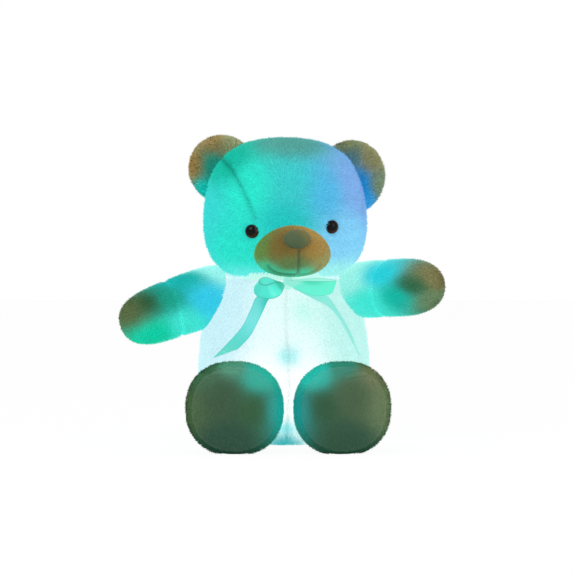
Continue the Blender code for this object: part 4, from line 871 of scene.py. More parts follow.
def dressLimb(name, form, grid, body, node, comb, seed, skip, seam, reach=None):
    # Skin and pile of one limb. skip says where no pile grows, seam how far the seam is.
    skin, points = gridPiece(name + "Skin", grid, plushBack)
    paintSkin(skin, form, points)
    roots, normals = tuftRoots(grid, form["tufts"], seed)
    keep = ~skip(roots) & offFloor(roots, normals)
    roots, normals = roots[keep], normals[keep]
    near = bell(seam(roots), 2.2 * mm)
    fur = pilePiece(
        name + "Pile", form, roots, normals, comb(roots), form.get("fur", limbFur), plushPile,
        seed + 1, 1 - 0.4 * near, 1 + form["seamShade"] * near,
    )
    finishPieces((skin, fur), body, node, reach)


arm = {
    "size": (0.052, 0.054, 0.125),
    "base": -0.016,
    "rings": (
        (0.035, 0.7, 0.74, 0), (0.24, 1.01, 0.99, 0.02), (0.54, 0.97, 0.98, 0.01),
        (0.765, 1, 1, 0), (0.913, 0.8, 0.78, 0), (0.978, 0.48, 0.46, 0),
    ),
    "grid": (90, 110),
    "tufts": 17000,
    "seamDepth": 1.3 * mm,
    "seamWidth": 2.0 * mm,
    "seamShade": 0.25,
    "shoulder": (0.060, 0, 0.151),
    "reach": (0.012, 0.040),
    "headGaps": (4.4 * mm, 3.0 * mm, 4.4 * mm),
    "headClear": 3.5 * mm,
    "left": {
        "side": 1, "drop": -4.0, "forward": 32.0, "seam": (0.046, 0.10),
        "spots": (
            # Light from the shoulder, cyan above and green below, and the brown unlit paw
            (-0.72, 0.05, 0.2, 0.45, "#9AEFE4", 0.84), (-0.4, -0.25, -0.35, 0.4, "#3EE2D2", 0.82),
            (-0.22, -0.38, 0.4, 0.35, "#18CCD8", 0.78), (0.12, -0.65, -0.25, 0.35, "#07BCAA", 0.62),
            (0.42, -0.88, 0.1, 0.3, "#2E6A46", 0.4), (0.85, -0.82, 0.3, 0.38, "#8C8658", 0.24),
            (0.82, -0.82, -0.35, 0.35, "#76926A", 0.25),
            (-0.75, 0.37, 0.4, 0.38, "#ABF3E9", 0.82), (-0.8, 0.5, 0.8, 0.3, "#AEF3EB", 0.8),
            (0.4, 0.8, 0, 0.4, "#62BBA9", 0.4), (-0.3, 0.8, 0, 0.4, "#71F6F2", 0.75),
        ),
    },
    "right": {
        "side": -1, "drop": 17.0, "forward": 16.0, "seam": (0.054, 0.0),
        "size": (0.052, 0.057, 0.125),
        "rings": (
            (0.035, 0.72, 0.86, 0.02), (0.24, 1.03, 1.04, 0.04), (0.54, 0.97, 0.97, 0.03),
            (0.765, 1, 0.95, 0), (0.913, 0.8, 0.74, 0), (0.978, 0.48, 0.44, 0),
        ),
        "spots": (
            (0.78, 0.05, 0.8, 0.38, "#9CF2EB", 0.83), (0.58, -0.38, 0.2, 0.35, "#30C6E4", 0.87),
            (0.25, -0.35, 0.7, 0.38, "#07AEA8", 0.83), (0.12, -0.5, -0.4, 0.35, "#42E0D0", 0.78),
            (-0.12, -0.7, 0.15, 0.32, "#149E88", 0.76), (-0.3, -0.72, -0.75, 0.35, "#07D2AC", 0.55),
            (-0.45, -0.9, 0.15, 0.3, "#2E5630", 0.56), (-0.86, -0.82, -0.1, 0.38, "#5C6E44", 0.36),
            (0.8, 0.5, 0.8, 0.3, "#A0F5EE", 0.8), (-0.4, 0.8, 0, 0.4, "#55BAA8", 0.4),
            (0.3, 0.8, 0, 0.4, "#52F1EC", 0.75),
        ),
    },
}


def dressArm(word, seed):
    # The arm goes out from the shoulder, turned ahead by forward and down by drop
    own = arm[word]
    side, drop, forward = own["side"], math.radians(own["drop"]), math.radians(own["forward"])
    flat = math.cos(drop)
    direction = (side * flat * math.cos(forward), -flat * math.sin(forward), -math.sin(drop))
    direction = np.array(direction)
    form = {**arm, **own}
    shoulder = np.array(arm["shoulder"]) * (side, 1, 1)
    stand(form, shoulder, limbAxes(direction))
    grid = formGrid(form, *arm["grid"])
    seamAt, seamTilt = own["seam"]

    def seam(points):
        # A slanted ring: the place along the arm less the seam's, less tilt times depth
        local = toOwn(form, points)
        return np.abs(local[..., 2] - seamAt - seamTilt * local[..., 1])

    grid = groove(grid, seam(grid), arm["seamWidth"], arm["seamDepth"])
    grid = clearOf(torso, grid, direction, sewnGap)
    # Kept under the head, also where the head comes when it turns to either side
    for share, gap in zip((-1, 0, 1), arm["headGaps"]):
        there, back = (turnAbout(2, turn * share * head["swing"]) for turn in (1, -1))
        grid = clearOf(head, grid @ there, (0, 0, -1), gap) @ back
    form["box"] = boxOf(grid)

    def skip(roots):
        # Inside the torso or close to the head
        return insideForm(torso, roots, pileGap) | insideForm(head, roots, arm["headClear"])

    node = "arm_" + word
    dressLimb(
        word + "Arm", form, grid, node, node, lambda roots: direction, seed, skip, seam,
        [tuple(shoulder + direction * far) for far in arm["reach"]],
    )
    return form


leftArm = dressArm("left", 31)
rightArm = dressArm("right", 33)

leg = {
    "size": (0.0900, 0.087, 0.097),
    "rings": (
        (0.06, 0.52, 0.52, -0.08), (0.24, 0.73, 0.71, -0.08), (0.5, 0.76, 0.75, -0.06),
        (0.72, 0.94, 0.94, -0.01), (0.88, 1, 1, 0), (0.965, 0.88, 0.88, 0),
        (0.995, 0.52, 0.52, 0),
    ),
    "grid": (110, 140),
    "boxy": 0.90,
    "tufts": 22000,
    "lift": 5.0 * mm,
    "hip": (0.045, -0.052, 0.038),
    "reach": (0.016, 0.045),
    "seamDepth": 1.0 * mm,
    "seamWidth": 2.2 * mm,
    "seamShade": 0.0,
    "left": {
        "side": 1, "splay": 7.0, "pucker": ((0.002, 0.030), (0.010, 0.0325), (0.022, 0.033)),
        "spots": (
            # Unlit brown-green sole, teal where the belly's light comes past its inner and
            # upper edge
            (0.25, -0.92, 0.25, 0.45, "#446240", 0.28), (0.85, -0.8, 0.1, 0.4, "#688056", 0.14),
            (0.1, -0.93, -0.65, 0.4, "#24543A", 0.2), (-0.45, -0.95, 0.05, 0.35, "#245430", 0.58),
            (-0.9, -0.9, 0, 0.32, "#169690", 0.66), (-0.6, -0.88, 0.75, 0.32, "#24BEAE", 0.61),
            (0, -0.84, 0.95, 0.26, "#2E8A74", 0.54), (0.7, -0.8, 0.65, 0.32, "#707C54", 0.18),
            (0.9, 0.3, 0, 0.4, "#5AB8A8", 0.55), (-0.9, 0.3, 0, 0.4, "#4BE2E2", 0.8),
            (0, 0.3, -0.9, 0.4, "#529C99", 0.45),
        ),
    },
    "right": {
        "side": -1, "splay": 1.0, "pucker": ((-0.022, 0.033), (-0.009, 0.0345), (0.004, 0.034)),
        "spots": (
            (-0.3, -0.95, 0.2, 0.45, "#34583A", 0.28), (-0.88, -0.84, 0.05, 0.4, "#486840", 0.13),
            (-0.15, -0.93, -0.65, 0.4, "#22503A", 0.2), (0.45, -0.97, 0, 0.35, "#2A5A30", 0.58),
            (0.9, -0.89, 0, 0.32, "#16A69C", 0.66), (0.55, -0.9, 0.7, 0.32, "#2AB4A0", 0.62),
            (-0.05, -0.86, 0.95, 0.26, "#4E967A", 0.48), (-0.65, -0.87, 0.7, 0.32, "#3E6E4C", 0.24),
            (-0.9, 0.3, 0, 0.4, "#52B49C", 0.55), (0.9, 0.3, 0, 0.4, "#42DBD2", 0.8),
            (0, 0.3, -0.9, 0.4, "#2F8D82", 0.45),
        ),
    },
}
sole = {
    "size": (0.080, 0.079, 0.012),
    "boxy": 0.90,
    "rings": ((0.2, 0.96, 0.96, 0), (0.78, 0.96, 0.96, 0)),
    "grid": (44, 120),
    "stand": 1.5 * mm,
    "tufts": 13000,
    # The foot's seam runs this far out round the sole, and pile stops a little short of it
    "seamOut": 1.04,
    "pileOut": 0.98,
    "seamBack": 12.0 * mm,
    "pileBack": 10.0 * mm,
    "puckerFront": 4.0 * mm,
    "puckerWidth": 2.2 * mm,
    "puckerDepth": 2.2 * mm,
    "puckerReach": 1.8 * mm,
}


def dressLeg(word, seed):
    # The leg goes ahead from the hip, turned out by splay, with its sole across its end
    own = leg[word]
    side, splay = own["side"], math.radians(own["splay"])
    direction = np.array((side * math.sin(splay), -math.cos(splay), 0))
    form = {**leg, **own}
    hip = np.array(leg["hip"]) * (side, 1, 1)
    axes = limbAxes(direction)
    stand(form, hip + axes @ (0, leg["lift"], 0), axes)
    grid = formGrid(form, *leg["grid"])
    patch = {**sole, "spots": own["spots"]}
    solePlace = form["place"] + direction * (leg["size"][2] + sole["stand"] - sole["size"][2])
    stand(patch, solePlace, axes)

    def overSole(points):
        # How far out over the sole, 1 at its edge, and how far ahead of it
        local = toOwn(patch, points)
        wide, tall = sole["size"][:2]
        return np.hypot(local[..., 0] * 2 / wide, local[..., 1] * 2 / tall), local[..., 2]

    def seam(points):
        # How far a point is from an ellipse a little wider than the sole
        away, ahead = overSole(points)
        off = np.abs(away - sole["seamOut"]) * sole["size"][0] / 2
        return np.where(ahead > -sole["seamBack"], off, 1.0)

    grid = groove(grid, seam(grid), leg["seamWidth"], leg["seamDepth"])
    grid = clearOf(torso, grid, direction, sewnGap)
    grid[..., 2] = np.maximum(grid[..., 2], 0.0)
    form["box"] = boxOf(grid)

    def outward(roots):
        # Away from the leg's line, plus 0.9 of its direction
        return unit(toOwn(form, roots) * (1, 1, 0)) @ axes.T + direction * 0.9

    def skip(roots):
        # Inside the torso or under the sole
        away, ahead = overSole(roots)
        covered = (away < sole["pileOut"]) & (ahead > -sole["pileBack"])
        return insideForm(torso, roots, pileGap) | covered

    node = "leg_" + word
    dressLimb(
        word + "Leg", form, grid, node, node, outward, seed, skip, seam,
        [tuple(hip + direction * far) for far in leg["reach"]],
    )
    soleGrid = clearOf(form, formGrid(patch, *sole["grid"]), direction, 0.15 * mm)

    def puckerAway(points):
        # The distance from the pucker's line, on the sole's front alone
        local = toOwn(patch, points)
        off = lineDistance(local[..., :2], own["pucker"])
        return np.where(local[..., 2] > sole["puckerFront"], off, 1.0)

    away = puckerAway(soleGrid)
    soleGrid = groove(soleGrid, away, sole["puckerWidth"], sole["puckerDepth"])
    patch["box"] = form["box"]
    pad, points = gridPiece(word + "Sole", soleGrid, velvetPile)
    paintSkin(pad, patch, points)
    roots, normals = tuftRoots(soleGrid, sole["tufts"], seed + 5)
    keep = ~insideForm(form, roots, 0.4 * mm) & (roots[:, 2] > 0.5 * mm)
    roots, normals = roots[keep], normals[keep]
    # Painted shade along the pucker's crease, where the pile is also shorter
    near = bell(puckerAway(roots), sole["puckerReach"])
    fur = pilePiece(
        word + "SolePile", patch, roots, normals, (0, 0, -1.0), velvetFur, velvetPile, seed + 6,
        1 - 0.4 * near, 1 - 0.30 * near,
    )
    finishPieces((pad, fur), node, "sole_" + word)
    return form


leftLeg = dressLeg("left", 41)
rightLeg = dressLeg("right", 43)

ear = {
    "size": (0.060, 0.062, 0.024),
    "base": -0.012,
    "rings": (
        (0.1, 0.7, 0.7, 0), (0.5, 1, 1, 0), (0.98, 0.86, 0.86, 0),
        (0.86, 0.52, 0.52, 0),
    ),
    "ends": (0.0, 0.78),
    "grid": (80, 110),
    "tufts": 9000,
    "fur": earFur,
    "seamShade": 0.0,
    "back": 4.0 * mm,
    "rake": 14.0,
    "lean": 30.0,
    "left": {
        "side": 1, "out": 0.0665, "rise": 0.0955, "size": (0.067, 0.071, 0.025),
        "spots": (
            # The head's light at its root and the brown rim
            (0.1, -0.4, -0.3, 0.45, "#1490D0", 0.36), (0.3, -0.4, -0.85, 0.4, "#38AAE4", 0.28),
            (-0.3, -0.66, 0.45, 0.37, "#568A98", 0.16), (0.6, -0.25, 0.6, 0.5, "#98976A", 0.18),
            (-0.35, -0.65, 0.95, 0.4, "#848C5E", 0.09), (0.82, -0.13, -0.3, 0.35, "#7E9270", 0.2),
            (0, 0.9, 0.2, 0.6, "#618082", 0.2),
        ),
    },
    "right": {
        "side": -1, "out": 0.0615, "rise": 0.1035, "size": (0.062, 0.063, 0.024),
        "spots": (
            (-0.15, -0.63, 0, 0.45, "#0A9482", 0.33), (-0.42, -0.65, -0.85, 0.37, "#0CCCC2", 0.17),
            (-0.85, -0.55, 0.05, 0.4, "#A2864C", 0.13), (-0.2, -0.7, 0.85, 0.42, "#A4905C", 0.08),
            (0.6, -0.9, 0.7, 0.4, "#A0A67C", 0.1), (0, 0.9, 0.2, 0.6, "#438C83", 0.2),
        ),
    },
}


def dressEar(word, seed):
    # The ear stands up, leaned out by lean and turned round the upright by rake
    own = ear[word]
    side = own["side"]
    turn = turnAbout(2, side * ear["rake"]) @ turnAbout(1, side * ear["lean"]) @ turnAbout(0, 90)
    axes = headAxes @ turn
    form = {**ear, **own}
    stand(form, neck + headAxes @ (side * own["out"], ear["back"], own["rise"]), axes)
    grid = clearOf(head, formGrid(form, *ear["grid"]), axes[:, 1], sewnGap)
    form["box"] = boxOf(grid)

    def outward(roots):
        # Away from the ear's own line, moved by 0.35 of its depth
        local = toOwn(form, roots) + (0, form["size"][1] * 0.35, 0)
        return unit(local * (1, 1, 0)) @ axes.T

    dressLimb(
        word + "Ear", form, grid, "head", "ear_" + word, outward, seed,
        lambda roots: insideForm(head, roots, pileGap), lambda roots: np.full(len(roots), 1.0),
    )


dressEar("left", 51)
dressEar("right", 53)


# Pocket flap in the back, with the recess it lies in and the pocket behind it
flap = {
    "half": (0.034, 0.0505), "middle": 0.0805, "thickness": 8.0 * mm, "grid": (22, 120),
    "roundness": 7.0, "gap": 0.8 * mm, "recess": 9.3 * mm, "tufts": 16000, "edge": 1.6 * mm,
    "cutEdge": 0.4 * mm, "cutOut": 12 * mm,
    "pocket": ((-0.028, 0.0225, 0.046), (0.028, 0.070, 0.125)),
    "spots": (
        (0, 1, 0.8, 0.6, "#8FE9E4", 0.75), (0, 1, 0, 0.6, "#86E4E4", 0.7),
        (0, 1, -0.8, 0.6, "#66D2D0", 0.65), (0, -1, 0, 0.5, "#BFE4E2", 0.2),
    ),
}
# Woven polyester of the pocket, the recess and the flap's inner face: thin, flat and pale
pocketLining = fibreCloth(
    "woven pocket lining", {"Roughness": 0.75, "Emission Strength": 1.0}, 0.7 * mm, 0.12 * mm, 0.10,
)


def slabGrid(half, middle, inner, outer, roundness, edge, rows, columns):
    # A padded slab that stands in Y: rows run from the middle of its inner face out to the
    # outline, a rounded rectangle, and over the outer face back to its middle. The faces close
    # by a quarter ellipse in the last bit, the edge.
    angle = circle(columns)
    reach = np.abs(np.cos(angle)) ** roundness + np.abs(np.sin(angle)) ** roundness
    reach = reach ** (-1 / roundness)
    share = np.sin(np.linspace(0, math.pi / 2, rows // 2))
    x = share[:, None] * reach * np.cos(angle) * half[0]
    z = middle - share[:, None] * reach * np.sin(angle) * half[1]
    left = (1 - share[:, None]) * min(half)
    curl = edge * (1 - np.sqrt(np.clip(1 - (1 - np.minimum(left / edge, 1)) ** 2, 0, 1)))
    low = np.stack([x, inner(x, z) + curl, z], axis=-1)
    high = np.stack([x, outer(x, z) - curl, z], axis=-1)
    return np.concatenate([low, high[::-1]])


def torsoBack(depth):
    # The torso's back surface, sunk by a depth
    return lambda x, z: surfaceDepth(torso, x, z, 1) - depth


def cutAway(piece, cutters):
    # Exact Boolean differences, applied, with the cutters' own lining on the cut faces
    for cutter in cutters:
        cut = piece.modifiers.new("cut", "BOOLEAN")
        cut.operation, cut.solver, cut.object = "DIFFERENCE", "EXACT", cutter
        cut.material_mode = "TRANSFER"
    shown = piece.evaluated_get(bpy.context.evaluated_depsgraph_get())
    piece.data = bpy.data.meshes.new_from_object(shown)
    piece.modifiers.clear()
    for cutter in cutters:
        bpy.data.objects.remove(cutter)


# Torso pile and skin, after the limbs, so that nothing grows under them
def dressTorso():
    # Pile is shorter, and darker with painted shade, by the bell of its distance from the middle
    # seam
    skin, points = gridPiece("torsoSkin", torsoGrid, plushBack)
    paintSkin(skin, torso, points, 0.92)
    half, power = np.array(flap["half"]) + flap["gap"], flap["roundness"]

    def outline(places):
        # Under 1 inside the recess's outline in the back, and over 1 outside it
        across = np.abs(places[:, 0]) / half[0]
        along = np.abs(places[:, 2] - flap["middle"]) / half[1]
        return np.where(places[:, 1] > 0, (across ** power + along ** power) ** (1 / power), 9.0)

    recess = slabGrid(
        half, flap["middle"], torsoBack(flap["recess"]), torsoBack(-flap["cutOut"]), power,
        flap["cutEdge"], *flap["grid"],
    )
    (x0, y0, z0), (x1, y1, z1) = flap["pocket"]
    pocket = slabGrid(
        ((x1 - x0) / 2, (z1 - z0) / 2), (z0 + z1) / 2, lambda x, z: x * 0 + y0,
        lambda x, z: x * 0 + y1, 14.0, flap["cutEdge"], 16, 96,
    )
    cutters = []
    # The cutters carry painted shade: 0.4 of the torso's colours
    for name, grid in (("recessCutter", recess), ("pocketCutter", pocket)):
        cutter, places = gridPiece(name, grid, pocketLining)
        paintSkin(cutter, torso, places, 0.4)
        cutters.append(cutter)
    cutAway(skin, cutters)
    # The paint is laid again: the edges made by the cut have none. Inside the recess it is
    # painted shade, darker the deeper it is sunk.
    points = np.empty(len(skin.data.vertices) * 3, np.float32)
    skin.data.vertices.foreach_get("co", points)
    points = points.reshape(-1, 3).astype(float)
    sunk = surfaceDepth(torso, points[:, 0], points[:, 2], 1) - points[:, 1]
    inside = (outline(points) < 1.01) & (sunk > 0.2 * mm)
    for name in ("light", "dyeAndShade"):
        skin.data.color_attributes.remove(skin.data.color_attributes[name])
    paintSkin(skin, torso, points, np.where(inside, 0.66 - 0.3 * np.clip(sunk / 0.05, 0, 1), 0.92))
    roots, normals = tuftRoots(torsoGrid, torso["tufts"], 61)
    high = roots[:, 2]
    keep = high < torso["bandLow"] - 0.5 * mm
    keep |= (high > torso["bandHigh"]) & (normals[:, 2] < 0.5)
    keep &= offFloor(roots, normals)
    for form in (leftArm, rightArm, leftLeg, rightLeg):
        keep &= ~insideForm(form, roots, pileGap / 2)
    # The hinge side of the recess is left a little freer
    keep &= outline(roots) > np.where(high > flap["middle"] + half[1] - 4 * mm, 1.05, 1.005)
    roots, normals = roots[keep], normals[keep]
    seam = lineDistance(roots[:, (0, 2)], torso["seam"])
    near = np.where(roots[:, 1] < 0, bell(seam, torso["seamReach"]), 0.0)
    # The pile falls, but for the shoulders' rim, where it stands up to the head
    below, tall, out, wide = torso["rim"]
    rim = np.clip((roots[:, 2] - torso["bandLow"] + below) / tall, 0, 1)
    rim = rim * np.clip((np.abs(roots[:, 0]) - out) / wide, 0, 1)
    fur = pilePiece(
        "torsoPile", torso, roots, normals, falling(roots, rim), bellyFur, plushPile, 62,
        1 - 0.4 * near + 0.5 * rim, 1 - 0.24 * near,
    )
    finishPieces((skin, fur), "body", "torso")


def dressFlap():
    # A slab between two depths under the torso's back, with pile on its outer face
    grid = slabGrid(
        flap["half"], flap["middle"], torsoBack(flap["thickness"]), torsoBack(-0.2 * mm),
        flap["roundness"], flap["edge"], *flap["grid"],
    )
    flap["box"] = boxOf(grid)
    pad, points = gridPiece("flapPad", grid, pocketLining)
    paintSkin(pad, flap, points, 0.95)
    pad.data.materials.append(plushBack)
    middle = np.zeros(len(pad.data.polygons) * 3, np.float32)
    pad.data.polygons.foreach_get("center", middle)
    middle = middle.reshape(-1, 3)
    outside = middle[:, 1] > torsoBack(flap["thickness"] * 0.6)(middle[:, 0], middle[:, 2])
    pad.data.polygons.foreach_set("material_index", outside.astype(np.int32))
    roots, normals = tuftRoots(grid, flap["tufts"] * 2, 71)
    keep = (normals[:, 1] > 0.25) & (roots[:, 1] > torsoBack(3 * mm)(roots[:, 0], roots[:, 2]))
    roots, normals = roots[keep], normals[keep]
    fur = pilePiece("flapPile", flap, roots, normals, falling(roots), bellyFur, plushPile, 72)
    finishPieces((pad, fur), "flap", "pocket_flap")


dressTorso()
dressFlap()

# Hook and loop tape: a woven tape with bristles, stiff and bent over on one, soft on the other
tape = {
    "half": (0.022, 0.005), "middle": 0.0375, "roundness": 9.0, "tufts": 2600,
    "proud": 0.5 * mm, "sunk": 0.8 * mm, "edge": 0.15 * mm, "grid": (14, 90),
    "spots": ((0, 0, 0, 1, "#DDEBE8", 0.45),),
}
hookPile = {
    **velvetFur, "length": 0.75 * mm, "width": 0.22 * mm, "lean": 20.0, "swirl": 0.0, "stray": 0.1,
    "root": 0.8, "tip": 1.05,
}
loopPile = {
    **velvetFur, "length": 1.0 * mm, "width": 0.30 * mm, "lean": 46.0, "swirl": 1.4, "stray": 1.0,
    "wave": 3 * mm, "root": 0.8, "tip": 1.0,
}
# Nylon tape: matt with a little shine on its threads
tapeCloth = fibreCloth(
    "woven nylon tape", {"Roughness": 0.55, "Emission Strength": 1.0}, 0.8 * mm, 0.15 * mm, 0.08,
)


def dressTape(name, node, body, facing, depth, pile, seed):
    # The tape lies on the face at this depth under the back surface and stands proud of it
    low, high = sorted((-depth - facing * tape["sunk"], -depth + facing * tape["proud"]))
    grid = slabGrid(
        tape["half"], tape["middle"], torsoBack(-low), torsoBack(-high), tape["roundness"],
        tape["edge"], *tape["grid"],
    )
    form = {**tape, "box": boxOf(grid)}
    band, points = gridPiece(name, grid, tapeCloth)
    paintSkin(band, form, points, 0.9)
    roots, normals = tuftRoots(grid, tape["tufts"] * 2, seed)
    keep = normals[:, 1] * facing > 0.7
    roots, normals = roots[keep], normals[keep]
    comb = (0, 0, 1.0)
    fur = pilePiece(name + "Bristles", form, roots, normals, comb, pile, tapeCloth, seed)
    finishPieces((band, fur), body, node)


dressTape("hookTape", "hook_strip", "flap", -1, flap["thickness"], hookPile, 81)
dressTape("loopTape", "loop_strip", "body", 1, flap["recess"], loopPile, 83)


# Satin ribbon: smooth, with a soft shine across 80 fine ribs along it, half of them on the
# side that is seen
satin = clothMaterial(
    "polyester satin ribbon",
    {"Roughness": 0.38, "Sheen Weight": 0.35, "Sheen Roughness": 0.3, "Emission Strength": 1.0},
    ("ShaderNodeTexWave", {"Scale": 80 * oneWave, "bands_direction": "X"}, True),
    {"To Min": 0.96, "To Max": 1.03}, (0.15, 0.05 * mm),
)
ribbon = {
    "thickness": 0.6 * mm,
    "clear": 3.4 * mm,
    # Edges of the tails in mm: X, Z, and how far the edge is lifted off the belly's pile
    "leftTail": {
        "one": (
            (9.5, 159, 0), (26, 153, 1), (42.3, 147.1, 4), (51.9, 134.5, 7), (60.2, 120.8, 8),
            (66.6, 108.1, 6), (74.9, 88.6, 1),
        ),
        "other": (
            (7, 155.5, 0), (19, 149.5, 0), (28.6, 144.5, 0), (43, 137, 0), (53.5, 125.5, 0),
            (62.5, 110, 0), (73.6, 89.8, 0),
        ),
        "spots": (
            (-0.9, -1, 0.9, 0.4, "#7FEBD8", 0.7), (-0.2, -1, 0.4, 0.4, "#8CEBDD", 0.7),
            (0.4, -1, -0.2, 0.4, "#94EADF", 0.7), (0.9, -1, -0.9, 0.4, "#9BEDE4", 0.7),
        ),
    },
    "rightTail": {
        "one": (
            (0.5, 156, 0), (-8, 149.5, 0), (-15.2, 143.4, 0.4), (-22, 129.2, 0.9),
            (-30.5, 112.3, 1.2), (-36.8, 103.9, 1.2), (-45.2, 95.5, 0.8),
        ),
        "other": (
            (-2, 159, 0), (-15, 154, 0), (-26.8, 146.7, 0.8), (-32.6, 134.5, 1.5),
            (-41, 117.5, 1.8), (-55.8, 100.7, 1.8), (-69.5, 86.4, 1.4),
        ),
        "tone": 0.84,
        "spots": (
            (0.9, -1, 0.9, 0.4, "#3AD2C2", 0.6), (0.3, -1, 0.5, 0.4, "#46DAD4", 0.6),
            (0, -1, 0, 0.4, "#58E2E2", 0.6), (-0.4, -1, -0.5, 0.4, "#55E4D8", 0.6),
            (-0.9, -1, -0.9, 0.4, "#6BECD3", 0.6),
        ),
    },
    # Edges of the flat loop in mm: out over the front, round its end and back behind
    "leftLoop": {
        "one": (
            (1, 162.8, -56), (15.6, 162.3, -63), (33, 161.9, -66.5), (47, 161.9, -64.5),
            (51.2, 162.1, -60), (48, 163.5, -55.5), (33, 165, -53), (15.6, 163.8, -51.5),
            (3, 162.8, -50),
        ),
        "other": (
            (1.2, 159, -56), (11, 155, -63), (27, 148.2, -66.5), (42, 148.4, -64.5),
            (47.6, 151, -60), (44, 150, -55.5), (28, 150, -53), (14, 153.5, -51.5),
            (4, 158.5, -50),
        ),
        "spots": (
            (-0.9, -0.6, 0.4, 0.3, "#9AF3E2", 0.8), (-0.4, -0.9, -0.2, 0.35, "#66F4D8", 0.7),
            (0.2, -1, -0.5, 0.35, "#5EF2D2", 0.7), (0.8, -0.8, 0, 0.35, "#5DF1CD", 0.7),
            (0.1, -1, 0.6, 0.25, "#50E4C0", 0.65), (0.2, 0.5, 0.9, 0.35, "#A6FBEA", 0.75),
        ),
    },
    # The other loop comes towards the viewer: a tube that widens downward, open at the top
    "rightLoop": {
        "top": (-17.9, -74.5, 162.2), "bottom": (-15.2, -68.0, 153.0),
        "tone": 0.94, "floor": 0.30,
        "radii": (6.2, 8.0, 10.6, 13.0, 14.0), "tilt": 35.0, "pinch": (1.0, -53.5, 160.0),
        "spots": (
            (-0.3, -0.9, -0.5, 0.35, "#3EE4CE", 0.75), (-0.8, -0.5, -0.2, 0.35, "#44DAC8", 0.7),
            (0.4, -0.8, -0.4, 0.35, "#5AF6E0", 0.8), (0.9, 0.5, 0.2, 0.35, "#3BD0B2", 0.6),
            (-0.1, -0.4, 0.8, 0.2, "#8BF0E4", 0.75), (-0.1, 0, 0.4, 0.2, "#5CEFDB", 0.7),
        ),
    },
    "neck": {
        "radius": 41.6 * mm, "height": 165.8 * mm,
        "fold": (
            (-1.1, -2.5), (-1.1, 2.2), (-0.55, 2.8), (0, 2.2), (0, -2.2), (0.55, -2.8),
            (1.1, -2.2), (1.1, 2.7),
        ),
        "spots": ((0, -1, 0, 1, "#C4FBEE", 0.85), (0, 1, 0, 0.7, "#63D8C8", 0.5)),
    },
    "knot": {
        "size": (0.0115, 0.0125, 0.0135), "place": (0.004, -0.0500, 0.1533),
        "rings": (
            (0.06, 0.66, 0.66, 0), (0.3, 0.96, 0.96, 0), (0.55, 0.9, 0.92, 0),
            (0.9, 0.72, 0.7, 0),
        ),
        "folds": 9, "foldDepth": 0.35 * mm,
        "spots": (
            # Pale where the lamp's light comes through, with painted shade in a crease on the
            # bear's left
            (0, -1, 0.6, 0.6, "#A6F3E4", 0.8), (0, -1, -0.5, 0.6, "#B4F5E9", 0.85),
            (0.7, -0.8, 0.2, 0.25, "#3FB391", 0.4),
        ),
    },
}


def darkerEdges(points, columns=28):
    # Both edges of a strip, and the points that close its ends, are painted darker
    edge = 1 - 0.35 * np.abs(np.cos(circle(columns))) ** 30
    return np.concatenate([[0.7], np.tile(edge, (len(points) - 2) // columns), [0.7]])


def finishRibbon(piece, form, points, node, shade=1.0):
    # Its colour is the spots' colour times the strip's tone and the darkening given on its edges
    form["box"] = boxOf(points)
    paintSkin(piece, form, points, shade * form.get("tone", 1.0))
    finishPieces((piece,), "body", node)


def ribbonEdge(places, count=70):
    # An edge through its places, held off the belly, arms and legs by the pile's height
    places = np.array(places, float) * mm
    y = surfaceDepth(torso, places[:, 0], places[:, 1], -1) - ribbon["clear"] - places[:, 2]
    y[0] = -50 * mm
    edge = throughPoints(np.column_stack([places[:, 0], y, places[:, 1]]), count)
    for form in (torso, leftArm, rightArm, leftLeg, rightLeg):
        edge = clearOf(form, edge, (0, -1, 0), ribbon["clear"])
    return edge


def tieTail(name, node):
    # A strip between two edges that lie over the belly
    own = ribbon[name]
    one, other = ribbonEdge(own["one"]), ribbonEdge(own["other"])
    piece, points = gridPiece(name, stripGrid(one, other, ribbon["thickness"]), satin)
    finishRibbon(piece, own, points, node, darkerEdges(points))


def tieFlatLoop():
    # A strip between two edges that run out, round and back
    own = ribbon["leftLoop"]
    places = [np.array(own[word])[:, (0, 2, 1)] * mm for word in ("one", "other")]
    edges = [throughPoints(edge, 120) for edge in places]
    piece, points = gridPiece("leftLoop", stripGrid(*edges, ribbon["thickness"]), satin)
    finishRibbon(
        piece, own, points, "bow_loop_left",
        darkerEdges(points),
    )


def tieRolledLoop():
    # Circles of growing radius round a line that leans to the viewer: from the middle of the
    # inner layer out to the top rim, down the outer wall, and back up the inside to that layer.
    # The side by the knot is drawn into it.
    own = ribbon["rightLoop"]
    floor, thick = own["floor"], ribbon["thickness"] / 2
    share = np.concatenate([
        np.full(7, floor), np.linspace(floor, 0, 8), np.linspace(0, 1, 24),
        np.linspace(1, floor + 0.05, 20), np.full(7, floor + 0.05),
    ])
    radius = np.interp(share, np.linspace(0, 1, 5), own["radii"]) * mm
    radius += thick * np.concatenate([np.full(15, -1), np.full(24, 1), np.full(27, -1)])
    radius[:7] *= np.linspace(0, 0.94, 7)
    radius[-7:] *= np.linspace(0.94, 0, 7)
    top, bottom = np.array(own["top"]) * mm, np.array(own["bottom"]) * mm
    centre = top + (bottom - top) * share[:, None]
    angle = circle(96)
    away = turnAbout(0, own["tilt"])[:, 1]
    ring = np.cos(angle)[:, None] * (1, 0, 0) + np.sin(angle)[:, None] * away
    grid = (centre[:, None] + ring * radius[:, None, None])[::-1]
    weight = bell(np.minimum(angle, 2 * math.pi - angle), 0.42)
    weight = (weight * np.clip(radius[::-1, None] / (8 * mm), 0, 1))[..., None]
    grid = grid + (np.array(own["pinch"]) * mm - grid) * weight * (1.0, 0.9, 0.75) * 0.85
    piece, points = gridPiece("rightLoop", grid, satin)
    # The ribbon's edges, at the top rim and the lower end, are painted darker
    ends = 1 - 0.42 * bell(share[::-1], 0.06) - 0.3 * bell(1 - share[::-1], 0.07)
    shade = np.concatenate([[1], np.repeat(ends[1:-1], len(angle)), [1]])
    finishRibbon(
        piece, own, points, "bow_loop_right",
        shade=shade,
    )


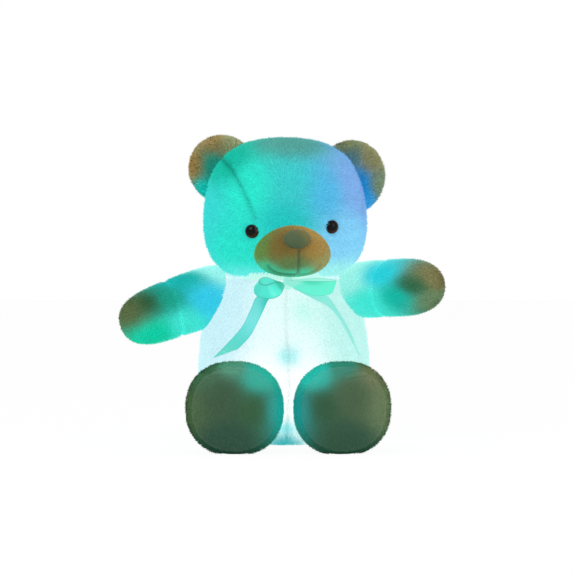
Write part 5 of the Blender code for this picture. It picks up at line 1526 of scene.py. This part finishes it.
def tieNeck():
    # The ribbon goes round the neck folded in three: its section is an S of even thickness
    own = ribbon["neck"]
    fold = throughPoints(np.array(own["fold"]) * mm, 40)
    along = np.gradient(fold, axis=0)
    off = unit(np.column_stack([along[:, 1], -along[:, 0]])) * 0.22 * mm
    loop = np.vstack([fold + off, (fold - off)[::-1]])
    angle, reach = circle(160), own["radius"] + loop[:, :1]
    high = own["height"] + loop[:, 1:] + 0 * angle
    grid = np.stack([reach * np.cos(angle), reach * np.sin(angle), high], axis=-1)
    piece, points = ringPiece("neckRibbon", grid, satin)
    finishRibbon(piece, own, points, "neck_ribbon")


def tieKnot():
    # The folds wave the radius along the ribbon that wraps the knot
    own = ribbon["knot"]
    stand(own, own["place"], np.eye(3))
    grid = formGrid(own, 40, 80)
    high = (toOwn(own, grid)[..., 2] / own["size"][2] - 0.5) * own["folds"]
    wave = own["foldDepth"] * np.cos(high * math.pi + grid[..., 0] * 300)
    grid = grid + gridNormals(grid) * wave[..., None]
    own["box"] = boxOf(grid)
    piece, points = gridPiece("ribbonKnot", grid, satin)
    paintSkin(piece, own, points, 1.0)
    finishPieces((piece,), "body", "bow_knot")


tieKnot()
tieNeck()
tieFlatLoop()
tieRolledLoop()
tieTail("leftTail", "bow_tail_left")
tieTail("rightTail", "bow_tail_right")
print("ribbon tied")


# Eyes: moulded domes, black with a brown ring that shows to one side of the pupil
eyePlastic, shader = newMaterial("moulded eye plastic", {
    "Roughness": 0.12, "Specular IOR Level": 0.10, "Coat Weight": 0.04, "Coat Roughness": 0.03,
})
dyeAndShade = addNode(eyePlastic, "ShaderNodeAttribute", {"attribute_name": "dyeAndShade"})
join(eyePlastic, shader, {"Base Color": (dyeAndShade, "Color")})


def dressEye(word, side, place):
    # A profile turned round the eye's own line: flat behind, a rounded rim and a half ellipse
    facing = headAxes @ turnAbout(2, side * eyes["outward"]) @ turnAbout(0, 90)
    radius = eyes["diameter"] / 2
    bow = np.linspace(0, math.pi / 2, 26)
    dome = np.column_stack([radius * np.cos(bow), eyes["dome"] * np.sin(bow)])
    profile = throughPoints(np.vstack([np.array(eyes["back"]) * (radius, mm), dome]), 60)
    profile[[0, -1], 0] = 0
    angle = circle(72)
    own = np.stack([
        profile[:, :1] * np.cos(angle), profile[:, :1] * np.sin(angle),
        np.broadcast_to(profile[:, 1:], (60, 72)) - eyes["sink"],
    ], axis=-1)
    grid = own @ facing.T + place
    piece, points = gridPiece(word + "Eye", grid, eyePlastic)
    flat = (points - place) @ facing
    pupil = np.linalg.norm(flat[:, :2] - eyes["pupil"], axis=1)
    rim = np.linalg.norm(flat[:, :2], axis=1)
    (starts, softStart), (stops, softEnd) = eyes["ring"]
    brown = np.clip((pupil - starts) / softStart, 0, 1) * np.clip((stops - rim) / softEnd, 0, 1)
    black, iris = linearHex(eyes["black"]), linearHex(eyes["brown"])
    giveColour(piece, "dyeAndShade", black + (iris - black) * brown[:, None])
    finishPieces((piece,), "head", "eye_" + word)


for side, place in eyePlaces:
    dressEye("left" if side > 0 else "right", side, place)


# Mouth: a twisted thread in the crease of the muzzle
def stitchMouth():
    # An ellipse carried along each line, its size the root of a sine, cut off at one
    thread = clothMaterial(
        "embroidery thread", {"Roughness": 0.6, "Sheen Weight": 0.3, "Emission Strength": 1.0},
        ("ShaderNodeTexWave", {"Scale": 30 * oneWave, "bands_direction": "DIAGONAL"}, True),
        {"To Min": 1.0, "To Max": 1.0}, (0.5, 0.1 * mm),
    )
    form = {**mouth, "box": muzzle["box"]}
    angle = circle(12)[:, None]
    for k, (line, depth, thick) in enumerate(zip(mouthLines, mouth["depths"], mouth["threads"])):
        path = frontOf(muzzle, line, -depth * 0.55)
        along = np.gradient(path, axis=0)
        grow = np.sin(np.linspace(0.15, math.pi - 0.15, len(path))) * 2.5
        grow = np.sqrt(np.clip(grow, 0, 1))[:, None]
        half = unit(np.cross(along, headAxes[:, 1])) * thick * grow
        off = unit(np.cross(along, half))
        size = np.linalg.norm(half, axis=1)[:, None, None]
        body = path[:, None] + half[:, None] * np.cos(angle) + off[:, None] * size * np.sin(angle)
        piece, points = gridPiece("mouthThread%d" % (k + 1), closeEnds(path, body), thread)
        paintSkin(piece, form, points, 1.0)
        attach(piece, "head")


stitchMouth()


# Hard parts that keep their CAD shape
def hardMaterial(name, settings, grain, depth, rough):
    # A noise of the grain's size varies the roughness and lifts the surface a little
    material, shader = newMaterial(name, settings)
    place = addNode(material, "ShaderNodeTexCoord", {})
    noise = addNode(
        material, "ShaderNodeTexNoise", {"Scale": 1 / grain, "Detail": 3.0},
        {"Vector": (place, "Object")},
    )
    spread = {"To Min": rough[0], "To Max": rough[1]}
    varied = addNode(material, "ShaderNodeMapRange", spread, {"Value": (noise, "Fac")})
    bump = addNode(
        material, "ShaderNodeBump", {"Strength": 0.4, "Distance": depth},
        {"Height": (noise, "Fac")},
    )
    join(material, shader, {"Roughness": (varied, "Result"), "Normal": (bump, "Normal")})
    return material, shader, place


def cellJacket():
    # Printed film on the cells: dark with a pale band, bare steel at both ends
    material, shader, place = hardMaterial(
        "printed cell jacket", {"Metallic": 0.5}, 3 * mm, 0.02 * mm, (0.25, 0.38),
    )
    parts = addNode(material, "ShaderNodeSeparateXYZ", {}, {"Vector": (place, "Object")})
    ends = {"From Min": 0.049, "From Max": 0.1032}
    high = addNode(material, "ShaderNodeMapRange", ends, {"Value": (parts, "Z")})
    bands = addNode(material, "ShaderNodeValToRGB", {}, {"Fac": (high, "Result")})
    bands.color_ramp.interpolation = "CONSTANT"
    steel, dark, pale = "#C9C9C4", "#23323C", "#C08A4A"
    stops = ((0.0, steel), (0.12, dark), (0.60, pale), (0.66, dark), (0.90, steel))
    for k, (at, text) in enumerate(stops):
        ramp = bands.color_ramp.elements
        stop = ramp[k] if k < 2 else ramp.new(at)
        stop.position, stop.color = at, paintHex(text)
    join(material, shader, {"Base Color": (bands, "Color")})
    return material


def circuitBoard():
    # Green lacquer over copper tracks, which show as paler lines on a 2.5 mm grid
    material, shader, place = hardMaterial(
        "lacquered circuit board", {"Coat Weight": 0.5}, 1 * mm, 0.02 * mm, (0.3, 0.45),
    )
    tracks = addNode(material, "ShaderNodeTexBrick", {
        "Color1": paintHex("#0E5A38"), "Color2": paintHex("#0B4C30"), "Mortar": paintHex("#3C8A5A"),
        "Scale": 1.0, "Mortar Size": 0.25 * mm, "Brick Width": 6 * mm, "Row Height": 2.5 * mm,
    }, {"Vector": (place, "Object")})
    join(material, shader, {"Base Color": (tracks, "Color")})
    return material


def threeOf(*words):
    # The names of the three like parts of each word
    return [word + "_%d" % k for word in words for k in (1, 2, 3)]


hardParts = {
    cellJacket(): threeOf("battery"),
    circuitBoard(): ("control_board", "body_lamp_board", "head_lamp_board"),
}
for name, settings, grain, depth, rough, names in (
    # White plastic of the case: fine spark texture, slightly warm
    ("moulded white plastic", {"Base Color": "#E6E6E1"}, 0.5, 0.03, (0.42, 0.6),
     ("battery_case", "battery_cover", "switch_slider", "eye_washer_left", "eye_washer_right")),
    # Nickel plate: bright, with faint drawing marks
    ("nickel plated steel", {"Base Color": "#C4C3BC", "Metallic": 1.0}, 0.8, 0.01, (0.2, 0.36),
     ("cover_screw", "switch_body", *threeOf("contact_spring", "contact_plate"))),
    # Frosted cups: milky, letting the lamps' light through softly
    ("frosted plastic", {"Base Color": "#EFF6F5", "Transmission Weight": 0.4}, 0.6, 0.03,
     (0.5, 0.7), ("body_lamp_cup", "head_lamp_cup")),
    # Silicone sleeve of the leads: soft, matt, dust-pale
    ("silicone cable sleeve", {"Base Color": "#D8D8D2"}, 1, 0.02, (0.5, 0.65),
     ("body_lead", "head_lead")),
):
    settings["Base Color"] = paintHex(settings["Base Color"])
    hardParts[hardMaterial(name, settings, grain * mm, depth * mm, rough)[0]] = names
for k, (word, text) in enumerate((("mint", "#7CF5C8"), ("white", "#F4FAFF"), ("blue", "#6FB4FF"))):
    # Clear epoxy over a lit chip
    lit = {"Base Color": paintHex(text), "Emission Color": paintHex(text), "Emission Strength": 1.5}
    lamp = hardMaterial(word + " lamp epoxy", lit, 1 * mm, 0.01 * mm, (0.1, 0.2))[0]
    hardParts[lamp] = ("body_led_%d" % (k + 1), "head_led_%d" % (k + 1))
for material, names in hardParts.items():
    for name in names:
        node = bpy.data.objects[name]
        if not node.material_slots:
            node.data.materials.append(material)
        for slot in node.material_slots:
            slot.material = material
print("hard parts painted")


# Floor and light. Both are white to the camera and softer to the bear.
def makeFloor():
    # The camera sees 0.94 of white and the rest of the lit floor, and the bear sees the lit floor
    material, shader = newMaterial("pale studio floor", {
        "Base Color": paintHex("#FFFFFF"), "Roughness": 0.9, "Specular IOR Level": 0.1,
    })
    rays = addNode(material, "ShaderNodeLightPath", {})
    white = addNode(material, "ShaderNodeEmission", {"Color": paintHex("#FFFFFF"), "Strength": 1.0})
    seen = addNode(
        material, "ShaderNodeMath", {"operation": "MAXIMUM"},
        {0: (rays, "Is Camera Ray"), 1: (rays, "Is Glossy Ray")},
    )
    both = addNode(
        material, "ShaderNodeMath", {"operation": "MAXIMUM"},
        {0: (seen, "Value"), 1: (rays, "Is Transmission Ray")},
    )
    share = addNode(
        material, "ShaderNodeMath", {"operation": "MULTIPLY", 1: 0.94}, {0: (both, "Value")},
    )
    mix = addNode(
        material, "ShaderNodeMixShader", {},
        {0: (share, "Value"), 1: (shader, "BSDF"), 2: (white, "Emission")},
    )
    join(material, material.node_tree.nodes["Material Output"], {"Surface": (mix, "Shader")})
    corners = np.array([(-6, -4, 0), (6, -4, 0), (6, 8, 0), (-6, 8, 0)], float)
    newPiece("floor", corners, [np.array([[0, 1, 2, 3]])], material)


def makeWorld():
    # The camera sees white, and the bear gets 0.75 of it
    world = bpy.data.worlds.new("studio")
    bpy.context.scene.world = world
    world.use_nodes = True
    world.node_tree.nodes.clear()
    rays = addNode(world, "ShaderNodeLightPath", {})
    soft = addNode(world, "ShaderNodeBackground", {"Color": paintHex("#FFFFFF"), "Strength": 0.75})
    white = addNode(world, "ShaderNodeBackground", {"Color": paintHex("#FFFFFF"), "Strength": 1.0})
    seen = addNode(
        world, "ShaderNodeMath", {"operation": "MAXIMUM"},
        {0: (rays, "Is Camera Ray"), 1: (rays, "Is Transmission Ray")},
    )
    mix = addNode(
        world, "ShaderNodeMixShader", {},
        {0: (seen, "Value"), 1: (soft, "Background"), 2: (white, "Background")},
    )
    addNode(world, "ShaderNodeOutputWorld", {}, {"Surface": (mix, "Shader")})


makeFloor()
makeWorld()


def addSoftLamp(name, place, aimAt, size, power):
    # A disk turned by the angle between its way and the vertical, then round the vertical
    lamp = bpy.data.objects.new(name, bpy.data.lights.new(name, "AREA"))
    lamp.data.shape = "DISK"
    lamp.data.size = size
    lamp.data.energy = power
    bpy.context.scene.collection.objects.link(lamp)
    lamp.location = place
    away = unit(np.array(place, float) - np.array(aimAt, float))
    lamp.rotation_euler = (math.acos(away[2]), 0, math.atan2(away[0], -away[1]))


addSoftLamp("soft key", (-0.9, -1.6, 1.5), (0, 0, 0.15), 1.4, 20)
addSoftLamp("soft fill", (1.4, -1.4, 0.9), (0, 0, 0.15), 1.6, 10)
bpy.context.scene.view_settings.view_transform = "Standard"
